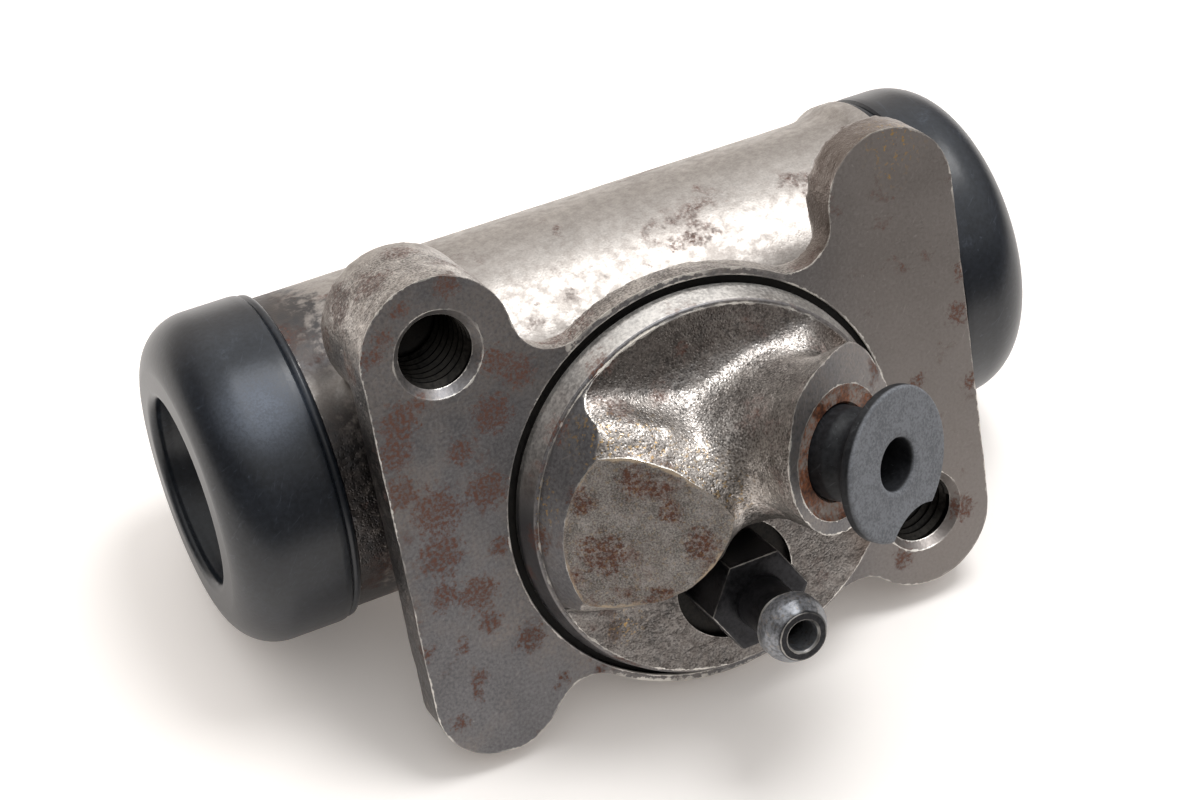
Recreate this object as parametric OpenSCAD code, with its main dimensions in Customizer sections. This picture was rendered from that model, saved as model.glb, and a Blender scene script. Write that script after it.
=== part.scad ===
// Double-ended hydraulic wheel cylinder with a flanged mounting face.
// The origin is the centre of the pilot spigot on the machined mounting face.
// +X runs along the cylinder, -Y leaves the mounting face, +Z is up.

/* [Cylinder tube] */
// Bore that the pistons run in, diameter
bore_d = 28.6; // [26:0.1:32]
// Outside diameter of the cast tube
tube_d = 39.3; // [38:0.1:44]
// Half length of the cast tube, centre to boot lip
tube_half = 40.2; // [40:0.1:46]
// Distance of the cylinder axis behind the mounting face
axis_back = 29; // [27:0.1:34]
// Height of the cylinder axis above the pilot centre
axis_up = 6.6; // [3:0.1:8]
// Length of the turned land under each boot
land_length = 4.8; // [4:0.1:5]
// Depth that the land is turned below the tube
land_depth = 1.5; // [1.2:0.1:1.8]
// Width of the raised collar at the right-hand end
collar_width = 3.4; // [2:0.1:5]
// Height of the raised collar above the tube
collar_height = 1.2; // [0.8:0.1:1.6]

/* [Mounting flange] */
// Thickness of the flange at its lobes
plate_t = 5.8; // [5:0.1:8]
// Thickness of the flange rim round the pilot
rim_t = 3.8; // [3:0.1:5]
// Radius of the flange rim round the pilot
rim_r = 25.9; // [25.5:0.1:27]
// Sideways place of the middle between the two bolt holes
bolt_mid_x = -0.6; // [-2:0.1:1]
// Height of the middle between the two bolt holes
bolt_mid_z = 5.8; // [4:0.1:8]
// Sideways distance of each bolt hole from that middle
bolt_half_x = 28.2; // [27:0.1:31]
// Rise of each bolt hole from that middle
bolt_half_z = 20.3; // [19:0.1:22]
// Radius of a bolt lobe
bolt_lobe_r = 9.2; // [8.5:0.1:10]
// How far the lower bolt lobe is cast below its hole
lower_lobe_drop = 0.7; // [0:0.1:1.2]
// Depth of the upper bolt boss behind the face
upper_boss_depth = 15; // [10:0.1:16]
// Depth of the lower bolt boss behind the face
lower_boss_depth = 9.6; // [8:0.1:16]
// Tapping diameter of a bolt hole
bolt_hole_d = 8.5; // [7:0.1:9.5]
// Diameter of the chamfer at a bolt hole's mouth
bolt_chamfer_d = 10.3; // [9.8:0.1:12]
// Sideways place of the upper blank lobe
blank_upper_x = 29; // [27:0.1:31]
// Height of the upper blank lobe
blank_upper_z = 27; // [25:0.1:29]
// Sideways place of the lower blank lobe, to the left
blank_lower_x = 29.8; // [27:0.1:31]
// Depth of the lower blank lobe below the pilot centre
blank_lower_z = 17.1; // [15:0.1:19]
// Radius of a blank lobe
blank_lobe_r = 8.2; // [7.5:0.1:9]
// Radius of the hollow corners between rim and lobes
corner_r = 5; // [3:0.1:7]
// Half width of the neck between flange and tube
neck_half = 24; // [20:0.5:26]
// Height of the neck between flange and tube
neck_h = 17; // [14:0.5:22]

/* [Pilot spigot] */
// Diameter of the turned pilot
pilot_d = 48.2; // [47.4:0.1:48.8]
// Height of the pilot above the mounting face
pilot_h = 3.5; // [3:0.1:5]
// Outside diameter of the relief groove
groove_d = 50; // [49:0.1:50.6]
// Depth of the relief groove
groove_depth = 0.9; // [0.5:0.1:1.5]
// How far the relief groove undercuts the pilot
groove_undercut = 0.15; // [0.1:0.05:0.4]
// Chamfer on the pilot's edge
pilot_chamfer = 0.2; // [0.1:0.1:0.6]

/* [Port bosses] */
// Tilt of the inlet and blind bosses away from the face normal
boss_tilt = 25; // [20:1:30]
// Radius of the inlet boss
inlet_boss_r = 10; // [9.4:0.1:10.6]
// Length of the inlet boss along its axis, from the mounting face
inlet_reach = 19; // [17:0.1:21]
// Where the inlet axis crosses the mounting face
inlet_x = 1.8; // [0:0.1:3]
// Extra height of the inlet boss above the port
inlet_boss_rise = 2.2; // [1:0.1:2.5]
// Diameter of the inlet port
port_d = 11; // [10:0.1:12]
// Depth of the inlet port
port_depth = 14; // [12:0.1:16]
// Diameter of the spot face round the port
spot_d = 15; // [14:0.1:16]
// Depth of the spot face
spot_depth = 0.4; // [0.2:0.1:0.8]
// Radius of the blind boss
blind_boss_r = 9.8; // [9:0.1:10.5]
// Length of the blind boss along its axis, from the mounting face
blind_reach = 12.1; // [10.5:0.1:14]
// Where the blind boss axis crosses the mounting face
blind_x = 7.9; // [6.5:0.1:8.5]
// Height of the blind boss axis above the pilot centre
blind_z = 2.4; // [1:0.1:4]
// Radius of the saddle that joins the bosses
saddle_r = 9.6; // [8:0.1:10]
// Distance of the saddle's round end from the middle
saddle_x = 10; // [8:0.1:11]
// Height of the saddle above the pilot centre
saddle_z = 7; // [5:0.1:8]
// Widening of each boss at its foot
foot_flare = 2; // [1:0.1:2.5]
// Diameter of the fluid passages
passage_d = 3.4; // [2.5:0.1:4]

/* [Bleeder screw] */
// Depth of the bleeder axis below the pilot centre
bleed_drop = 11.8; // [11:0.1:12.4]
// Size of the hexagon across its flats
hex_af = 11; // [10:0.1:12]
// Height of the hexagon's front face over the mounting face
hex_front = 10.6; // [9.5:0.1:12]
// Thickness of the hexagon
hex_t = 7.5; // [6:0.1:7.7]
// Thread diameter of the screw
bleed_thread_d = 10; // [8:0.1:10.4]
// Length of the thread into the body
bleed_thread_l = 12; // [9:0.1:13]
// Length of the nipple in front of the hexagon
nipple_l = 10.6; // [9:0.1:14]
// Diameter of the nipple's barrel
nipple_d = 8.2; // [7.4:0.1:9]
// Length of the nipple's barrel
nipple_barrel_l = 5.4; // [4.6:0.1:7]
// Diameter of the nipple's neck
nipple_neck_d = 6.4; // [5.6:0.1:7]
// Diameter of the nipple's end
nipple_end_d = 6; // [5:0.1:6.6]
// Diameter of the drain hole in the nipple
drain_d = 3.8; // [3:0.1:4.4]

/* [Inlet plug] */
// Diameter of the plug's head
plug_head_d = 18; // [15:0.1:18.4]
// Thickness of the plug's head
plug_head_t = 3; // [2:0.1:4]
// Gap between the port's face and the head
plug_stand = 4.9; // [3:0.1:7]
// Depth of the stem in the port
plug_depth = 9; // [7:0.1:11]
// Diameter of the blind hole in the plug
plug_hole_d = 6; // [4:0.1:7]
// Radius of the hollow cut out of the head's lower edge
plug_scoop_r = 9; // [7:0.1:12]

/* [Boots] */
// How far a boot stands out over the tube
boot_stand = 1.05; // [0.6:0.05:1.8]
// Length of a boot, lip to mouth
boot_length = 14.4; // [13.5:0.1:18]
// How far the right-hand boot is pressed in at its mouth
boot_press = 2.2; // [0:0.1:3]
// Wall of a boot
boot_wall = 2.3; // [1.8:0.1:2.6]
// Radius of a boot's shoulder
boot_shoulder_r = 6.4; // [5:0.1:7]
// Diameter of a boot's mouth
boot_mouth_d = 23.2; // [20:0.1:24]
// Depth of the funnel inside the mouth
funnel_depth = 7; // [5:0.1:7.6]
// Narrowing of the funnel's radius at its inner end
funnel_taper = 1.6; // [1:0.1:2.5]
// Wall of the funnel
funnel_wall = 1.8; // [1.2:0.1:2.2]
// Width of the bead inside the lip
bead_w = 1.5; // [1:0.1:2]
// Height of the bead inside the lip
bead_h = 0.9; // [0.6:0.1:1.2]

/* [Pistons and seals] */
// Length of a piston
piston_length = 15; // [12:0.1:18]
// Distance of a piston's outer face inside the end of the tube
piston_sink = 7; // [6.5:0.1:9]
// Diameter of the push rod socket
socket_d = 10; // [8:0.1:12]
// Depth of the push rod socket
socket_depth = 8; // [6:0.1:9]
// Chamfer on piston and socket edges
piston_chamfer = 0.8; // [0.4:0.1:1.2]
// Thickness of a cup's base
cup_base_t = 2.6; // [2:0.1:3.4]
// Length of a cup's lip
cup_lip_l = 4.4; // [3:0.1:5]
// Thickness of a cup's lip
cup_lip_t = 2; // [1.4:0.1:2.4]
// Thickness of an expander's sheet
expander_t = 0.8; // [0.6:0.1:1]
// Radius of an expander's flat seat
expander_seat_r = 9.2; // [8.6:0.1:9.6]
// Depth of an expander's flared rim
expander_rim = 2.6; // [2:0.1:3]
// Mean radius of the return spring
spring_r = 7; // [6:0.1:7.6]
// Wire diameter of the return spring
spring_wire_d = 1.4; // [1:0.1:1.8]
// Turns of the return spring
spring_turns = 6.5; // [5:0.5:8]

/* [Fits] */
// Radial clearance of a piston in the bore
piston_fit = 0.04; // [0.02:0.01:0.08]
// Radial clearance of a cup in the bore
cup_fit = 0.06; // [0.02:0.01:0.09]
// Radial clearance of the bleeder screw in its thread
thread_fit = 0.04; // [0.02:0.01:0.08]
// Radial clearance of the plug in its port
plug_fit = 0.05; // [0.02:0.01:0.08]
// Clearance of a boot on its land
boot_fit = 0.05; // [0.02:0.01:0.1]
// Clearance between stacked pieces in the bore
stack_gap = 0.05; // [0.02:0.01:0.2]
// Clearance of the hexagon and the spring from what they bear on
bearing_gap = 0.3; // [0.2:0.05:0.5]

/* [Hidden] */
$fn = 96;
cut = 1;

bore_r = bore_d / 2;
tube_r = tube_d / 2;
land_r = tube_r - land_depth;
land_end = tube_half + land_length;
lip_w = land_length - 1;
bead_start = tube_half + (lip_w - bead_w) / 2;

bolt_ul = [bolt_mid_x - bolt_half_x, bolt_mid_z + bolt_half_z];
bolt_lr = [bolt_mid_x + bolt_half_x, bolt_mid_z - bolt_half_z];
blank_ur = [blank_upper_x, blank_upper_z];
blank_ll = [-blank_lower_x, -blank_lower_z];
lobe_lr = bolt_lr - [0, lower_lobe_drop];
bolt_holes = [[bolt_ul, upper_boss_depth], [bolt_lr, lower_boss_depth]];
bolt_chamfer = (bolt_chamfer_d - bolt_hole_d) / 2;

pilot_r = pilot_d / 2;
groove_r = groove_d / 2;
foot_r = pilot_r - groove_undercut;

pocket_r = hex_af / sqrt(3) + 1.2;
pocket_floor = hex_front - hex_t - bearing_gap;
bleed_boss_r = bleed_thread_d / 2 + 3.4;
bleed_bottom = bleed_thread_l + 2;
bleed_boss_depth = bleed_bottom + passage_d;

boot_r = tube_r + boot_stand;
boot_inner_r = land_r + boot_fit;
mouth_r = boot_mouth_d / 2;

piston_out = land_end - piston_sink;
piston_in = piston_out - piston_length;
cup_out = piston_in - stack_gap;
cup_floor = cup_out - cup_base_t;
cup_r = bore_r - cup_fit;
expander_out = cup_floor - stack_gap;
expander_in = expander_out - expander_t;
spring_end = expander_in - bearing_gap;

// Turns a shape drawn along +Z onto the cylinder axis, pointing to +X
module along_cylinder() {
    translate([0, axis_back, axis_up]) rotate([0, 90, 0]) children();
}

// Turns a shape drawn along +Z to point out of the mounting face at height z
module out_of_face(x, z) {
    translate([x, 0, z]) rotate([90, 0, 0]) children();
}

// The same, leaning sideways by an angle
module leaning_out(x, z, lean) {
    translate([x, 0, z]) rotate([0, 0, lean]) rotate([90, 0, 0]) children();
}

// Extrudes an outline of the flange back from the mounting face
module back_from_face(depth) {
    translate([0, depth, 0]) rotate([90, 0, 0]) linear_extrude(depth) children();
}

// Straight-sided bar that is tangent to two lobes
module lobe_bar(a, ra, b, rb) {
    d = norm(b - a);
    heading = atan2(b[1] - a[1], b[0] - a[0]);
    spread = acos((ra - rb) / d);
    function touch(c, r, side) = c + r * [cos(heading + side * spread), sin(heading + side * spread)];
    polygon([touch(a, ra, 1), touch(b, rb, 1), touch(b, rb, -1), touch(a, ra, -1)]);
    translate(a) circle(ra);
    translate(b) circle(rb);
}

// Hollow corner between the rim circle at the origin and a lobe, filled down to the bar's middle
module hollow_corner(lobe, lobe_r, side) {
    d = norm(lobe);
    from_rim = rim_r + corner_r;
    from_lobe = lobe_r + corner_r;
    heading = atan2(lobe[1], lobe[0]);
    angle = acos((from_rim * from_rim + d * d - from_lobe * from_lobe) / (2 * from_rim * d));
    centre = from_rim * [cos(heading + side * angle), sin(heading + side * angle)];
    difference() {
        polygon([[0, 0], [lobe[0], 0], lobe, centre]);
        translate(centre) circle(corner_r);
    }
}

// The two side bars, each from a bolt lobe to a blank lobe
module side_bars() {
    lobe_bar(bolt_ul, bolt_lobe_r, blank_ll, blank_lobe_r);
    lobe_bar(blank_ur, blank_lobe_r, lobe_lr, bolt_lobe_r);
}

module flange_web() {
    circle(rim_r);
    hollow_corner(bolt_ul, bolt_lobe_r, -1);
    hollow_corner(blank_ur, blank_lobe_r, 1);
    hollow_corner(lobe_lr, bolt_lobe_r, -1);
    hollow_corner(blank_ll, blank_lobe_r, 1);
}

module flange() {
    back_from_face(plate_t) side_bars();
    back_from_face(rim_t) flange_web();
    back_from_face(upper_boss_depth) translate(bolt_ul) circle(bolt_lobe_r);
    back_from_face(lower_boss_depth) translate(lobe_lr) circle(bolt_lobe_r);
    translate([-neck_half, 0, axis_up - neck_h / 2]) cube([2 * neck_half, axis_back, neck_h]);
}

module tube() {
    along_cylinder() {
        translate([0, 0, -tube_half]) cylinder(r = tube_r, h = 2 * tube_half);
        rotate_extrude() collar_section();
        difference() {
            translate([0, 0, -land_end]) cylinder(r = land_r, h = 2 * land_end);
            bead_groove();
            mirror([0, 0, 1]) bead_groove();
        }
    }
}

// Raised collar next to the right-hand boot, with sloping sides
module collar_section() {
    slope = collar_height;
    polygon([
        [bore_r, tube_half - collar_width], [tube_r, tube_half - collar_width],
        [tube_r + collar_height, tube_half - collar_width + slope],
        [tube_r + collar_height, tube_half - slope / 2],
        [tube_r + collar_height / 2, tube_half], [bore_r, tube_half]
    ]);
}

module bead_groove() {
    translate([0, 0, bead_start - boot_fit]) difference() {
        cylinder(r = land_r + cut, h = bead_w + 2 * boot_fit);
        translate([0, 0, -cut]) cylinder(r = land_r - bead_h - boot_fit, h = bead_w + 2 * cut);
    }
}

// Turned pilot with an edge chamfer, standing on the undercut foot inside the relief groove
module pilot() {
    out_of_face(0, 0) {
        translate([0, 0, -groove_depth]) cylinder(r = foot_r, h = groove_depth);
        cylinder(r = pilot_r, h = pilot_h - pilot_chamfer);
        translate([0, 0, pilot_h - pilot_chamfer])
            cylinder(r1 = pilot_r, r2 = pilot_r - pilot_chamfer, h = pilot_chamfer);
    }
}

module inlet_boss() {
    leaning_out(inlet_x, axis_up, boss_tilt)
        for (rise = [inlet_boss_rise / 2, inlet_boss_rise])
            translate([0, rise, 0]) cylinder(r1 = inlet_boss_r + foot_flare, r2 = inlet_boss_r, h = inlet_reach);
}

module blind_boss() {
    leaning_out(-blind_x, blind_z, -boss_tilt)
        cylinder(r1 = blind_boss_r + foot_flare, r2 = blind_boss_r, h = blind_reach);
}

// Round-backed saddle that ties the feet of the two bosses together
module saddle() {
    translate([-saddle_x, 0, saddle_z]) {
        sphere(saddle_r);
        rotate([0, 90, 0]) cylinder(r = saddle_r, h = saddle_x + inlet_x + foot_flare);
    }
}

module inlet_port_cut() {
    leaning_out(inlet_x, axis_up, boss_tilt) {
        translate([0, 0, inlet_reach - port_depth]) cylinder(d = port_d, h = port_depth + cut);
        translate([0, 0, inlet_reach - spot_depth]) cylinder(d = spot_d, h = spot_depth + cut);
        translate([0, 0, -axis_back]) cylinder(d = passage_d, h = axis_back + inlet_reach - port_depth + cut);
    }
}

module bleeder_cut() {
    out_of_face(0, -bleed_drop) {
        translate([0, 0, -bleed_thread_l]) cylinder(d = bleed_thread_d, h = bleed_thread_l + hex_front);
        translate([0, 0, -bleed_bottom])
            cylinder(d1 = passage_d, d2 = bleed_thread_d, h = bleed_bottom - bleed_thread_l);
        translate([0, 0, pocket_floor]) cylinder(r = pocket_r, h = hex_front + nipple_l);
    }
    rise = bleed_drop + axis_up;
    run = axis_back - bleed_bottom;
    translate([0, bleed_bottom - cut / 2, -bleed_drop]) rotate([-atan2(run, rise), 0, 0])
        cylinder(d = passage_d, h = norm([rise, run]));
}

module bolt_hole_cuts() {
    for (hole = bolt_holes) {
        back_from_face(hole[1] + cut) translate(hole[0]) circle(d = bolt_hole_d);
        out_of_face(hole[0][0], hole[0][1]) translate([0, 0, -bolt_chamfer])
            cylinder(d1 = bolt_hole_d, d2 = bolt_chamfer_d, h = bolt_chamfer);
    }
}

module cylinder_body() {
    color([0.42, 0.38, 0.35]) difference() {
        union() {
            difference() {
                flange();
                translate([0, groove_depth, 0]) rotate([90, 0, 0]) cylinder(r = groove_r, h = groove_depth + cut);
            }
            tube();
            pilot();
            inlet_boss();
            blind_boss();
            saddle();
            back_from_face(bleed_boss_depth) translate([0, -bleed_drop]) circle(bleed_boss_r);
        }
        along_cylinder() translate([0, 0, -land_end - cut]) cylinder(r = bore_r, h = 2 * (land_end + cut));
        inlet_port_cut();
        bleeder_cut();
        bolt_hole_cuts();
    }
}

// Half section of a boot's closed form, inset by its wall
module boot_form(length, inset) {
    r = boot_r - inset;
    end = tube_half + length - inset;
    shoulder = boot_shoulder_r - inset;
    translate([0, tube_half]) {
        square([r, end - shoulder - tube_half]);
        square([r - shoulder, end - tube_half]);
    }
    intersection() {
        translate([r - shoulder, end - shoulder]) circle(shoulder);
        translate([0, tube_half]) square([r, length]);
    }
}

// Lip with its bead, cup-shaped wall and the funnel that turns in at the mouth
module boot_section(length) {
    end = tube_half + length;
    difference() {
        boot_form(length, 0);
        boot_form(length, boot_wall);
        square([mouth_r, end + cut]);
    }
    polygon([
        [mouth_r, end], [mouth_r - funnel_taper, end - funnel_depth],
        [mouth_r - funnel_taper + funnel_wall, end - funnel_depth],
        [mouth_r + funnel_wall, end - boot_wall], [mouth_r + funnel_wall, end]
    ]);
    translate([boot_inner_r, tube_half]) square([boot_r - boot_inner_r, lip_w]);
    translate([boot_inner_r - bead_h, bead_start]) square([bead_h + cut, bead_w]);
}

module boot(length) {
    color([0.1, 0.1, 0.11]) along_cylinder() rotate_extrude() boot_section(length);
}

// Plain turned piston with a socket for the push rod
module piston() {
    r = bore_r - piston_fit;
    socket_r = socket_d / 2;
    floor = piston_out - socket_depth;
    color([0.7, 0.71, 0.72]) along_cylinder() rotate_extrude() polygon([
        [0, piston_in], [r - piston_chamfer, piston_in], [r, piston_in + piston_chamfer],
        [r, piston_out - piston_chamfer], [r - piston_chamfer, piston_out],
        [socket_r + piston_chamfer, piston_out], [socket_r, piston_out - piston_chamfer],
        [socket_r, floor], [0, floor - socket_r / 3]
    ]);
}

// Rubber cup whose lip faces the middle of the bore
module cup() {
    color([0.12, 0.12, 0.13]) along_cylinder() rotate_extrude() polygon([
        [0, cup_out], [cup_r - 0.4, cup_out], [cup_r - 0.2, cup_floor], [cup_r, cup_floor - cup_lip_l],
        [cup_r - cup_lip_t / 2, cup_floor - cup_lip_l], [cup_r - cup_lip_t, cup_floor], [0, cup_floor]
    ]);
}

// Pressed dish that holds the cup's lip out and seats the spring
module cup_expander() {
    rim_in = expander_seat_r + expander_rim / 2.6;
    color([0.6, 0.55, 0.35]) along_cylinder() rotate_extrude() polygon([
        [0, expander_out], [expander_seat_r, expander_out], [rim_in + expander_t, expander_out - expander_rim],
        [rim_in, expander_out - expander_rim], [expander_seat_r - expander_t / 2, expander_in], [0, expander_in]
    ]);
}

// Helical return spring: a round wire swept ring by ring along the bore
module return_spring() {
    sides = 8;
    rings_per_turn = 14;
    rings = spring_turns * rings_per_turn;
    wire_r = spring_wire_d / 2;
    span = 2 * (spring_end - wire_r);
    function wire_point(ring, side) = let (
        turn = 360 * ring / rings_per_turn, round = 360 * side / sides, r = spring_r + wire_r * cos(round)
    ) [r * cos(turn), r * sin(turn), span * (ring / rings - 0.5) + wire_r * sin(round)];
    points = [for (ring = [0:rings]) for (side = [0:sides - 1]) wire_point(ring, side)];
    walls = [for (ring = [0:rings - 1]) for (side = [0:sides - 1]) let (next = (side + 1) % sides)
        [ring * sides + side, (ring + 1) * sides + side, (ring + 1) * sides + next, ring * sides + next]];
    start = [[for (side = [0:sides - 1]) side]];
    finish = [[for (side = [sides - 1:-1:0]) rings * sides + side]];
    color([0.5, 0.5, 0.52]) along_cylinder() polyhedron(points, concat(start, walls, finish), convexity = 8);
}

module nipple_section() {
    end = hex_front + nipple_l;
    barrel_r = nipple_d / 2;
    neck_r = nipple_neck_d / 2;
    barrel_back = end - nipple_barrel_l;
    polygon([
        [0, hex_front - cut], [neck_r, hex_front - cut], [neck_r, barrel_back],
        [barrel_r - 0.2, barrel_back + 0.7], [barrel_r, barrel_back + 1.6], [barrel_r, end - 2.2],
        [nipple_end_d / 2, end], [0, end]
    ]);
}

// Bleeder screw: threaded shank with a seat cone, hexagon and hose nipple
module bleeder_screw() {
    thread_r = bleed_thread_d / 2 - thread_fit;
    corner = hex_af / sqrt(3);
    seat_r = passage_d / 2;
    color([0.08, 0.08, 0.09]) out_of_face(0, -bleed_drop) difference() {
        union() {
            translate([0, 0, -bleed_thread_l]) cylinder(r = thread_r, h = bleed_thread_l + hex_front - hex_t);
            translate([0, 0, -bleed_bottom + thread_fit])
                cylinder(r1 = seat_r, r2 = thread_r, h = bleed_bottom - bleed_thread_l - thread_fit);
            intersection() {
                translate([0, 0, hex_front - hex_t]) cylinder(r = corner, h = hex_t, $fn = 6);
                translate([0, 0, hex_front - hex_t])
                    cylinder(r1 = corner + hex_t * 1.6, r2 = hex_af / 2 - 0.1, h = hex_t + 0.2);
            }
            rotate_extrude() nipple_section();
        }
        translate([0, 0, -bleed_thread_l / 2]) cylinder(d = drain_d, h = bleed_thread_l + hex_front + nipple_l);
    }
}

module plug_head_outline() {
    difference() {
        circle(d = plug_head_d);
        translate([2.4, -plug_head_d / 2 - plug_scoop_r + 1.9]) circle(plug_scoop_r);
    }
}

// Rubber plug that closes the inlet port
module inlet_plug() {
    head_back = inlet_reach + plug_stand;
    stem_r = port_d / 2 - plug_fit;
    color([0.3, 0.31, 0.33]) leaning_out(inlet_x, axis_up, boss_tilt) difference() {
        union() {
            translate([0, 0, inlet_reach - plug_depth]) cylinder(r = stem_r, h = plug_depth + plug_stand + cut);
            translate([0, 0, head_back]) linear_extrude(plug_head_t) plug_head_outline();
        }
        translate([0, 0, inlet_reach]) cylinder(d = plug_hole_d, h = plug_stand + plug_head_t + cut);
    }
}

module left() {
    mirror([1, 0, 0]) children();
}

cylinder_body();
left() boot(boot_length);  // left_boot
boot(boot_length - boot_press);  // right_boot
left() piston();  // left_piston
piston();  // right_piston
left() cup();  // left_cup
cup();  // right_cup
left() cup_expander();  // left_cup_expander
cup_expander();  // right_cup_expander
return_spring();
bleeder_screw();
inlet_plug();
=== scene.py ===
"""Looks of a drum brake wheel cylinder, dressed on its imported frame."""
import math

import bmesh
import bpy
import numpy as np
from bpy.props import FloatProperty, FloatVectorProperty, PointerProperty
from mathutils import Matrix, Vector, kdtree, noise


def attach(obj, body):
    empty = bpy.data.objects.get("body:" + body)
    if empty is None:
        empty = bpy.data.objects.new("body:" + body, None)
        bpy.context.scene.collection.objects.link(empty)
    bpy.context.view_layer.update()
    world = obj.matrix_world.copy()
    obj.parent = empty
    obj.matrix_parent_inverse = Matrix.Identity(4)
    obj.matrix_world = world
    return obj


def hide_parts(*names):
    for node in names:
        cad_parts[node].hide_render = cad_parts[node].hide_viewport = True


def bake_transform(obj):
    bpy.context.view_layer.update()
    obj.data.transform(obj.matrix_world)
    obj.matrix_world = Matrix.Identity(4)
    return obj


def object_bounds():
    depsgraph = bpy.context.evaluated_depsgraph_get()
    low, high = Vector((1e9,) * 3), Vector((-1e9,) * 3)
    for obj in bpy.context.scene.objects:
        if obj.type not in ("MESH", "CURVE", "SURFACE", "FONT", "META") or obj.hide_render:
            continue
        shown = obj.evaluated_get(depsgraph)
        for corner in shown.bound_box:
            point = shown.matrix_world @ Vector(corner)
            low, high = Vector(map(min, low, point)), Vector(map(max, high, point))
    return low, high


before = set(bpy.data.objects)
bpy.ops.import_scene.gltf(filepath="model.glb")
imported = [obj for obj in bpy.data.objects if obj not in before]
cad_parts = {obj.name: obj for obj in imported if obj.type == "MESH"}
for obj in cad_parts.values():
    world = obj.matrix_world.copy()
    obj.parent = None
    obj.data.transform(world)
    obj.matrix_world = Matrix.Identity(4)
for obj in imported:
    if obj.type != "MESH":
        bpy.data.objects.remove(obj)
CAD_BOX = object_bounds()

bl_info = {
    "name": "Wheel Cylinder",
    "version": (1, 0, 0),
    "blender": (4, 5, 0),
    "location": "View3D > Sidebar > Wheel Cylinder",
    "description": "Builds the looks of a drum brake wheel cylinder on its frame",
    "category": "Add Mesh",
}

MM = 0.001

# Places, in millimetres, in the frame of the solids
AXIS_BACK, AXIS_UP = 29.0, 6.6
TUBE_R, LAND_R, BORE_R = 19.65, 18.15, 14.3
TUBE_HALF, LAND_END = 40.2, 45.0
UPPER_BOLT, LOWER_BOLT = (-28.8, 26.1), (27.6, -14.5)
LOWER_LOBE = (27.6, -15.2)
BOLT_LOBE_R = 9.2
INLET_X, INLET_REACH, BOSS_TILT = 1.8, 19.0, 25.0
BLIND_X, BLIND_Z, BLIND_REACH = -7.9, 2.4, 12.1
BLEED_Z = -11.8
UPPER_DEPTH, LOWER_DEPTH = 15.0, 9.6
HEX_FRONT, HEX_BACK, HEX_FLATS = 10.6, 3.1, 11.0
GROOVE_IN, GROOVE_OUT, GROOVE_DEPTH = 23.95, 25.0, 0.9

# How far the pilot's front stands out, and a ball round the valley between the bosses: place and radius
FIELD = 3.75
VALLEY = (1.0, -9.0, 7.5, 12.0)

# Outlines of the inlet boss: radius by angle in degrees round its axis, at its root, neck and face
INLET_ROOT = (
    (0, 13.0), (30, 14.5), (49, 14.9), (60, 11.8), (97, 8.0),
    (127, 8.6), (180, 9.0), (230, 9.5), (270, 9.8), (330, 11.0),
)
INLET_NECK = (
    (0, 9.0), (30, 9.8), (60, 9.4), (90, 7.4), (127, 7.3),
    (180, 7.6), (230, 8.2), (270, 8.6), (330, 8.8),
)
INLET_FACE = (
    (0, 10.2), (19, 10.5), (41, 11.1), (69, 13.0), (89, 12.15), (107, 11.7), (127, 11.3),
    (146, 10.15), (180, 9.5), (213, 9.3), (244, 9.66), (262, 9.7), (290, 9.7), (330, 9.9),
)

# Outlines of the blind boss: x and z of its root on the pilot's front, and its end about its own axis
BLIND_ROOT = (
    (-16.5, 18.6), (-10.5, 17.9), (-5.0, 15.6), (0.5, 13.0), (3.0, 4.0), (2.0, -1.5), (-1.0, -5.5),
    (-6.0, -9.0), (-11.0, -9.8), (-16.0, -9.8), (-21.0, -8.8), (-24.6, -5.2), (-25.0, 0.5),
    (-24.6, 6.0), (-21.8, 13.0),
)
BLIND_END = (
    (-4.2, 9.1), (0.3, 9.0), (4.4, 7.0), (8.0, 3.3), (10.4, -0.2), (9.3, -2.8), (7.3, -5.7), (4.1, -8.2),
    (0.4, -9.2), (-3.8, -9.1), (-7.5, -8.1), (-10.2, -6.0), (-10.2, -2.0), (-8.9, 2.1), (-6.8, 6.1),
)

# Material slots of the casting
SKIN, FACED, TURNED, HOLE, GROOVE, SEAT, PAD = range(7)

# Rust spots on the mounting face, each with its x, z and radius, and on the rest of the casting
FACE_RUST = (
    (-26.1, 33.9, 2.4), (-20.2, 21.1, 3.2), (-24.1, 17.2, 3.6), (-28.6, 14.0, 2.4), (-26.6, 8.4, 3.8),
    (-32.9, 7.8, 4.6), (-33.4, 2.5, 4.0), (-34.8, 19.9, 3.4), (-36.2, 16.5, 3.4), (-34.7, 29.9, 2.0),
    (-36.7, 28.2, 2.0), (-30.1, -3.9, 3.6), (-26.3, 1.0, 2.0), (-36.3, 11.3, 3.0), (-32.2, 21.2, 1.8),
    (-25.1, -11.7, 2.8), (-22.8, 23.4, 2.4), (-34.1, -2.7, 2.6), (-32.1, 32.7, 1.7), (-29.3, -8.0, 2.2),
    (-33.4, -9.9, 1.5), (-32.1, -14.6, 1.7), (-32.7, -16.6, 1.3), (-22.3, -18.6, 1.4), (-35.4, -19.4, 1.6),
    (-37.9, -9.0, 1.8), (-17.4, -19.4, 1.2), (35.8, 9.6, 2.2), (37.1, 14.6, 1.8), (29.1, 2.7, 1.6),
    (36.6, 0.3, 1.8), (33.0, -16.0, 2.6), (24.0, -20.0, 2.2),
)
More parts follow.
